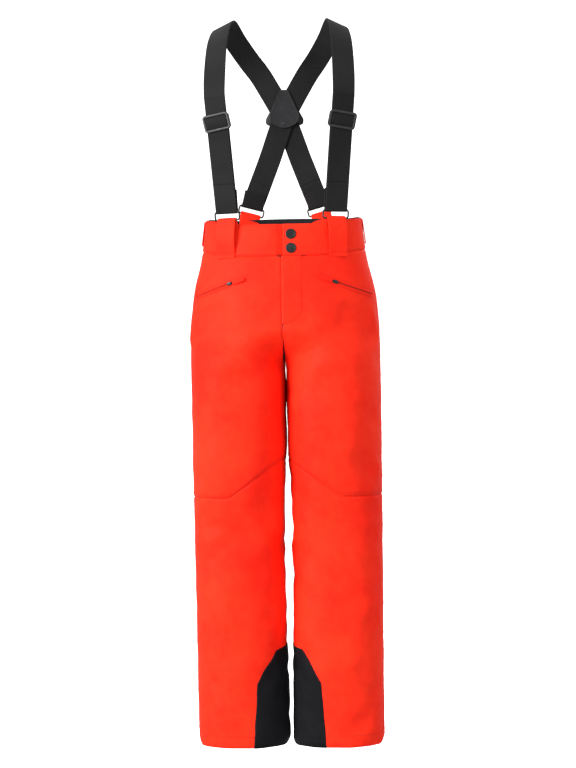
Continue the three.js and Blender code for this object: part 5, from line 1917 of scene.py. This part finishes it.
    def _pair(self, name: str, solid: Solid, finish: Finish, body: str = "trunk") -> None:
        """Makes a piece on both sides from its left solid. Without a body, each has its own."""
        for side in Side:
            label = f"{name}_{side.label}"
            solid.on(side).dress(label, finish, body=body or label)

    def build(self) -> None:
        """Makes everything that the straps hang from."""
        self.make_front_loops()
        self.make_back_tabs()
        self.make_side_loops()
        self.make_links()


# ---- straps ----
@dataclass
class Straps:
    """The two elastic straps, their ends, the adjusters and the plates where they cross."""

    hangers: Hangers
    width: float = 36
    thickness: float = 1.6
    end_length: float = 42
    adjuster_height: float = 159
    layer: float = 1.4
    crossing: Pair = (95, 190)
    crossing_side: float = 25.7
    route: tuple[tuple[tuple[float, float, float], tuple[float, float, float]], ...] = (
        ((100.5, -80, 236), (0.3, -0.87, 0.42)), ((97, -48, 296), (0.38, -0.6, 0.7)),
        ((89, 0, 326), (0.41, 0, 0.91)), ((74, 48, 306), (0.33, 0.6, 0.72)),
        ((56, 80, 282), (0.2, 0.87, 0.45)), ((40, 92, 261.5), (0.08, 0.97, 0.2)),
    )

    @property
    def strap_up(self) -> Array:
        """The direction up the straight front of the left strap."""
        return unit(np.array(self.hangers.straight_top) - self.hangers.front.strap_at)

    @property
    def adjuster_reach(self) -> float:
        """How far up the strap the adjuster is."""
        return (self.adjuster_height - self.hangers.ring_top) / self.strap_up[2]

    def straight(self, reach: Array, lift: float = 0.0) -> Frames:
        """Places up the straight front of the left strap."""
        end = self.hangers.front
        at = end.strap_at + self.strap_up * np.asarray(reach)[:, None] + end.out * lift
        return Frames(at, *(np.broadcast_to(v, at.shape) for v in (end.side_way, end.out)))

    def back_last(self) -> tuple[Array, Array]:
        """Where the left strap ends on the right of the back, and the way it runs there."""
        at = self.hangers.back.strap_at * MIRROR
        y, z = self.crossing
        toward = unit(np.array([-self.crossing_side, y, z - 70]) - at)
        return at + toward * self.end_length, toward

    def main_frames(self, layer: float) -> Frames:
        """The left strap: up the chest, over the shoulder and across the back."""
        y, z = self.crossing
        out = self.hangers.front.out
        last, _ = self.back_last()
        knots = [
            (self.straight([self.adjuster_reach + self.width]).at[0], out), (self.hangers.straight_top, out),
            *self.route,
            ((self.crossing_side, y + layer, z + 48), (0, 1, 0.02)), ((0, y + layer, z), (0, 1, 0)),
            ((-self.crossing_side, y + layer, z - 70), (0, 1, 0)), (last, (0, 1, 0)),
        ]
        steps = np.linspace(0, 1, 16 * (len(knots) - 1) + 1)[8:]
        at = catmull_rom(np.array([k for k, _ in knots], float), steps)
        facing = catmull_rom(np.array([f for _, f in knots], float), steps)
        along = unit(np.gradient(at, axis=0))
        side = unit(np.cross(along, facing))
        curved = Frames(at, side, unit(np.cross(side, along)))
        low = self.straight(np.linspace(self.end_length, self.adjuster_reach + self.width, 40))
        return low.joined(curved)

    def turnback(self, end: StrapEnd, before: Frames, tail: float) -> Frames:
        """Webbing that comes down outside a link's upper bar, turns under it and runs up inside.

        Args:
            end: the link.
            before: the places before the turn.
            tail: how far it runs on after the turn.

        Returns:
            All its places.
        """
        turns = [turned(end.out, end.side_way, a) for a in np.linspace(0, math.pi, 15)]
        bend = Frames(
            np.array([end.upper + out * end.lift for out in turns]),
            np.broadcast_to(end.side_way, (15, 3)), np.array(turns),
        )
        rest = np.linspace(0, tail, 16)[1:, None]
        settle = smoothstep(rest, 0, tail * 0.8)
        run = Frames(
            end.upper - end.out * (end.lift - 0.75 * settle) + end.up * rest,
            np.broadcast_to(end.side_way, (15, 3)), np.broadcast_to(-end.out, (15, 3)),
        )
        return before.joined(bend).joined(run)

    def _dress(self, frames: Frames, name: str, side: Side, body: str = "") -> Piece:
        """Makes a length of webbing on one side, from its left places."""
        places = frames if side is LEFT else frames.mirrored()
        solid = places.ribbon(self.width, self.thickness, roll=0.35)
        return solid.dress(f"{name}_{side.label}", WEBBING, body=body)

    def make_webbing(self) -> None:
        """Makes both straps with their front and back ends."""
        front, back = self.hangers.front, self.hangers.back
        tail = 34.0
        stub = self.turnback(front, self.straight(np.linspace(self.end_length, 0.4, 24)), tail)
        rise = np.linspace(tail - 1, self.adjuster_reach - 2, 40)
        returned = self.straight(rise, -2 * front.lift + 1.2)
        for side in Side:
            s = side.label
            self._dress(self.main_frames(-self.layer * side), "strap", side, "trunk")
            low, high = self.straight([self.end_length - 2, 3.0]).at
            bend(self._dress(stub, "strap_front_end", side), side, f"front_ring_{s}", low, high)
            low, high = self.straight([self.end_length + 4, self.adjuster_reach - 8]).at
            bend(self._dress(returned, "strap_return", side), side, f"strap_adjuster_{s}", low, high)
            frames = self.turnback(back, self._back_before(self.layer * side), self.end_length * 0.6)
            piece = self._dress(frames, "strap_back_end", side)
            bend(piece, side, f"back_ring_{s}", frames.at[0], back.strap_at)
        self._make_end_stitching(back)

    def _back_before(self, layer: float) -> Frames:
        """The last of the opposite strap, on the left of the back, as far as the link."""
        end = self.hangers.back
        last = self.main_frames(layer)
        start, side, out = last.at[-1] * MIRROR, last.side[-1] * MIRROR, last.out[-1] * MIRROR
        side = side if side @ end.side_way > 0 else -side
        t = np.linspace(0, 0.985, 24)[:, None]
        return Frames(lerp(start, end.strap_at, t), unit(lerp(side, end.side_way, smoothstep(t, 0, 1))),
                      unit(lerp(out, end.out, smoothstep(t, 0, 1))))

    def _make_end_stitching(self, end: StrapEnd) -> None:
        """Makes the stitched boxes that close the back ends."""
        for side in Side:
            frames = self._back_before(self.layer * side)
            work = ThreadWork(pitch=2.6, length=2.0, radius=0.26)
            for way, lift in ((1, 0.8), (-1, -5.2)):
                for i in (3, 11):
                    work.across(frames, i, 0.42 * self.width, lift, 16, way)
            piece = work.solid().on(side).dress(f"strap_end_stitching_{side.label}", BLACK_THREAD)
            bend(piece, side, f"back_ring_{side.label}", frames.at[0], end.strap_at)

    def _bar(self, ends: tuple[Array, Array], up: Array, out: Array, half: Pair) -> Solid:
        """A moulded bar with soft edges between two points."""
        x, y = soft_square(20, 0.45, half)
        section = up * x[:, None] + out * y[:, None]
        steps = ((0.0, 0.82), (0.012, 0.95), (0.03, 1.0), (0.97, 1.0), (0.988, 0.95), (1.0, 0.82))
        return tube(np.stack([lerp(*ends, t) + section * grow for t, grow in steps]))

    def make_adjusters(self) -> None:
        """Makes the three-bar adjusters, with the webbing wrapped over each centre bar."""
        front = self.hangers.front
        lean = math.radians(-8)
        side, up = (turned(v, front.out, lean) for v in (front.side_way, self.strap_up))
        at = self.straight([self.adjuster_reach]).at[0]
        out = front.out
        inner, rail = self.width / 2 + 0.9, 2.6
        half = 14.0
        ways, section = (side, up, np.cross(up, side)), soft_square(20, 0.6, (2.05, 1.35))
        parts = [soft_hoop(at + out * 2.35, ways, (inner + rail / 2, half - 2.3), 3.2, 9, section)]
        ends = tuple(at + side * x - out * 2.3 for x in (-inner - 0.5, inner + 0.5))
        parts.append(self._bar(ends, up, out, (2, 1.1)))
        for x in (-inner - rail / 2, inner + rail / 2):
            ends = tuple(at + side * x + up * y - out * 0.2 for y in (-half + 4, half - 4))
            parts.append(self._bar(ends, side, out, (rail / 2 + 0.1, 3.0)))
        solid = together(*parts)
        wrap_run = np.linspace(-1, 1, 25)[:, None]
        bulge = 2.4 * np.cos(wrap_run * np.pi / 2) ** 0.8
        wrap = Frames(
            at + up * wrap_run * (half - 3.6) + out * (0.5 + bulge), np.broadcast_to(side, (25, 3)),
            unit(np.broadcast_to(out, (25, 3)) + up * wrap_run * 0.35),
        )
        for side_of in Side:
            label = side_of.label
            body = f"strap_adjuster_{label}"
            solid.on(side_of).dress(body, HARDWARE, body=body)
            self._dress(wrap, "adjuster_wrap", side_of, body)

    def _plate(self, name: str, y: float, outward: int, corners: Sequence[Pair], sag: float) -> None:
        """Makes one moulded plate where the straps cross.

        Args:
            name: the piece's name.
            y: where its flat back is.
            outward: the sign of the way it faces.
            corners: its corners as (x, z), from its top, for the wearer's left.
            sag: how far its lower edge bows down.
        """
        right = [np.array([x, z]) for x, z in corners]
        left = [np.array([-x, z]) for x, z in corners[::-1]]
        end = right[-1]
        bow = [np.array([x, end[1] - sag * (1 - (x / end[0]) ** 2)]) for x in np.linspace(end[0], -end[0], 14)[1:-1]]
        loop = right + bow + left
        outline = []
        for i, corner in enumerate(loop):
            before, after = loop[i - 1], loop[(i + 1) % len(loop)]
            cut = min(2.6, 0.45 * np.linalg.norm(before - corner), 0.45 * np.linalg.norm(after - corner))
            a = corner + unit(before - corner) * cut
            b = corner + unit(after - corner) * cut
            for t in (0, 0.33, 0.67, 1):
                outline.append((1 - t) ** 2 * a + 2 * t * (1 - t) * corner + t * t * b)
        flat = np.array(outline)
        middle = flat.mean(axis=0)
        reach = np.linalg.norm(flat - middle, axis=1, keepdims=True)
        sections = []
        steps = ((0.5, 0), (0.05, 0.35), (0, 0.8), (0.15, 1.3), (0.7, 1.65), (1.7, 1.8), (2.3, 1.6), (3.2, 1.5))
        for inset, rise in steps:
            ring = middle + (flat - middle) * (1 - inset / reach)
            sections.append(np.column_stack([ring[:, 0], np.full(len(ring), y + outward * rise), ring[:, 1]]))
        tube(np.stack(sections)).dress(name, YOKE_PLASTIC, body="trunk")

    def make_yoke(self) -> None:
        """Makes the two plates where the straps cross, and the rivet through them."""
        y, _ = self.crossing
        stand = self.layer + self.thickness / 2 + 0.9
        self._plate("yoke_inner", y - stand, -1, ((6.7, 235.6), (24.8, 195), (24.4, 184)), 12)
        self._plate("yoke_outer", y + stand, 1, ((6.2, 233), (31.6, 188), (31, 180)), 8)
        spokes = np.linspace(0, 2 * np.pi, 28, endpoint=False)[:, None]
        ring = np.array([1.0, 0, 0]) * np.cos(spokes) + np.array([0, 0, 1.0]) * np.sin(spokes)
        rivets = []
        for way in (-1, 1):
            face = np.array([0, y + way * (stand + 1.45), 180.0])
            steps = ((2.4, 0), (2.4, 0.35), (1.9, 0.7), (1.1, 0.75), (0.9, 0.45), (0.2, 0.42))
            rivets.append(tube(np.stack([face + ring * r + np.array([0, way * h, 0]) for r, h in steps])))
        together(*rivets).dress("yoke_rivets", HARDWARE, body="trunk")

    def build(self) -> None:
        """Makes both straps and all their fittings."""
        self.make_webbing()
        self.make_adjusters()
        self.make_yoke()


# ---- the studio ----
@dataclass
class Studio:
    """The camera, the lights and the pale floor."""

    aim: tuple[float, float, float] = (0.0027, 0.0, -0.2495)
    distance: float = 3.0
    azimuth: float = 2.5
    roll: float = 0.945
    lens: float = 87.9
    floor_height: float = -0.96
    room: float = 7.5
    cove: float = 0.9
    spokes: int = 72

    def make_camera(self) -> None:
        """Places the camera, level and a little to the wearer's left."""
        data = bpy.data.cameras.new("camera")
        data.lens = self.lens
        data.sensor_width = 36
        camera = bpy.data.objects.new("camera", data)
        bpy.context.scene.collection.objects.link(camera)
        turn = math.radians(self.azimuth)
        away = Vector((math.sin(turn), -math.cos(turn), 0))
        camera.location = Vector(self.aim) + away * self.distance
        upright = away.to_track_quat("Z", "Y").to_matrix().to_4x4()
        camera.matrix_world = (
            Matrix.Translation(camera.location) @ upright @ Matrix.Rotation(math.radians(-self.roll), 4, "Z")
        )
        bpy.context.scene.camera = camera

    def make_floor(self) -> None:
        """Makes a round floor that curves up into a wall, seen but throwing no light of its own."""
        floor, cove, radius = self.floor_height / MM, self.cove / MM, self.room / MM
        route = [(r, floor) for r in (1, 800, 2000, 4000, radius - cove)]
        route += [
            (radius - cove * (1 - math.sin(a)), floor + cove * (1 - math.cos(a))) for a in np.linspace(0.1, 1.5, 10)
        ]
        route += [(radius, floor + rise) for rise in (1400, 3500, 7000)]
        turn = np.linspace(0, 2 * np.pi, self.spokes, endpoint=False)
        rings = [np.column_stack([r * np.cos(turn), r * np.sin(turn), np.full(self.spokes, z)]) for r, z in route]
        stage = tube(np.stack(rings)).object("pale_floor", Floor())
        stage.visible_diffuse = stage.visible_glossy = stage.visible_shadow = False

    def make_light(self, name: str, place: Vector, target: Vector, power: float, size: float, colour: Colour) -> None:
        """Adds one soft square light.

        Args:
            name: the light's name.
            place: where it stands.
            target: what it faces.
            power: in watts.
            size: its width, in metres.
            colour: its tint.
        """
        data = bpy.data.lights.new(name, "AREA")
        data.energy, data.size, data.color = power, size, colour
        light = bpy.data.objects.new(name, data)
        light.location = place
        light.rotation_euler = (target - place).to_track_quat("-Z", "Y").to_euler()
        bpy.context.scene.collection.objects.link(light)

    def make_lights(self) -> None:
        """Adds a broad key from the wearer's right, a fill, a top light and a bright surround."""
        middle = Vector((0, 0, -0.35))
        for name, place, power, size, colour in (
            ("key", (-2.6, -2.0, 0.7), 170, 1.5, (1, 0.985, 0.95)), ("fill", (2.0, -2.8, 0.1), 26, 2.2, (1, 1, 1)),
            ("top", (0.2, -0.6, 2.3), 16, 1.6, (1, 1, 1)), ("rim", (1.2, 2.2, 0.9), 14, 1.4, (1, 1, 1)),
        ):
            self.make_light(name, Vector(place), middle, power, size, colour)
        world = bpy.data.worlds.new("surround")
        world.use_nodes = True
        world.node_tree.nodes["Background"].inputs["Color"].default_value = (1, 1, 1, 1)
        world.node_tree.nodes["Background"].inputs["Strength"].default_value = 0.62
        bpy.context.scene.world = world
        bpy.context.scene.view_settings.view_transform = "Standard"

    def build(self) -> None:
        """Sets up the whole studio."""
        self.make_camera()
        self.make_floor()
        self.make_lights()


def main() -> None:
    """Builds the studio, then every sub-assembly, and reports each piece."""
    logging.basicConfig(level=logging.INFO, format="%(message)s")
    Studio().build()
    form = ShellForm()
    drape = Drape(form)
    drape.simulate()
    cloth = Cloth(form, drape)
    Trousers(cloth).build()
    Waistband(cloth).build()
    for side in Side:
        Pocket(cloth, side).build()
    hangers = Hangers(cloth)
    hangers.build()
    Straps(hangers).build()


if __name__ == "__main__":
    main()
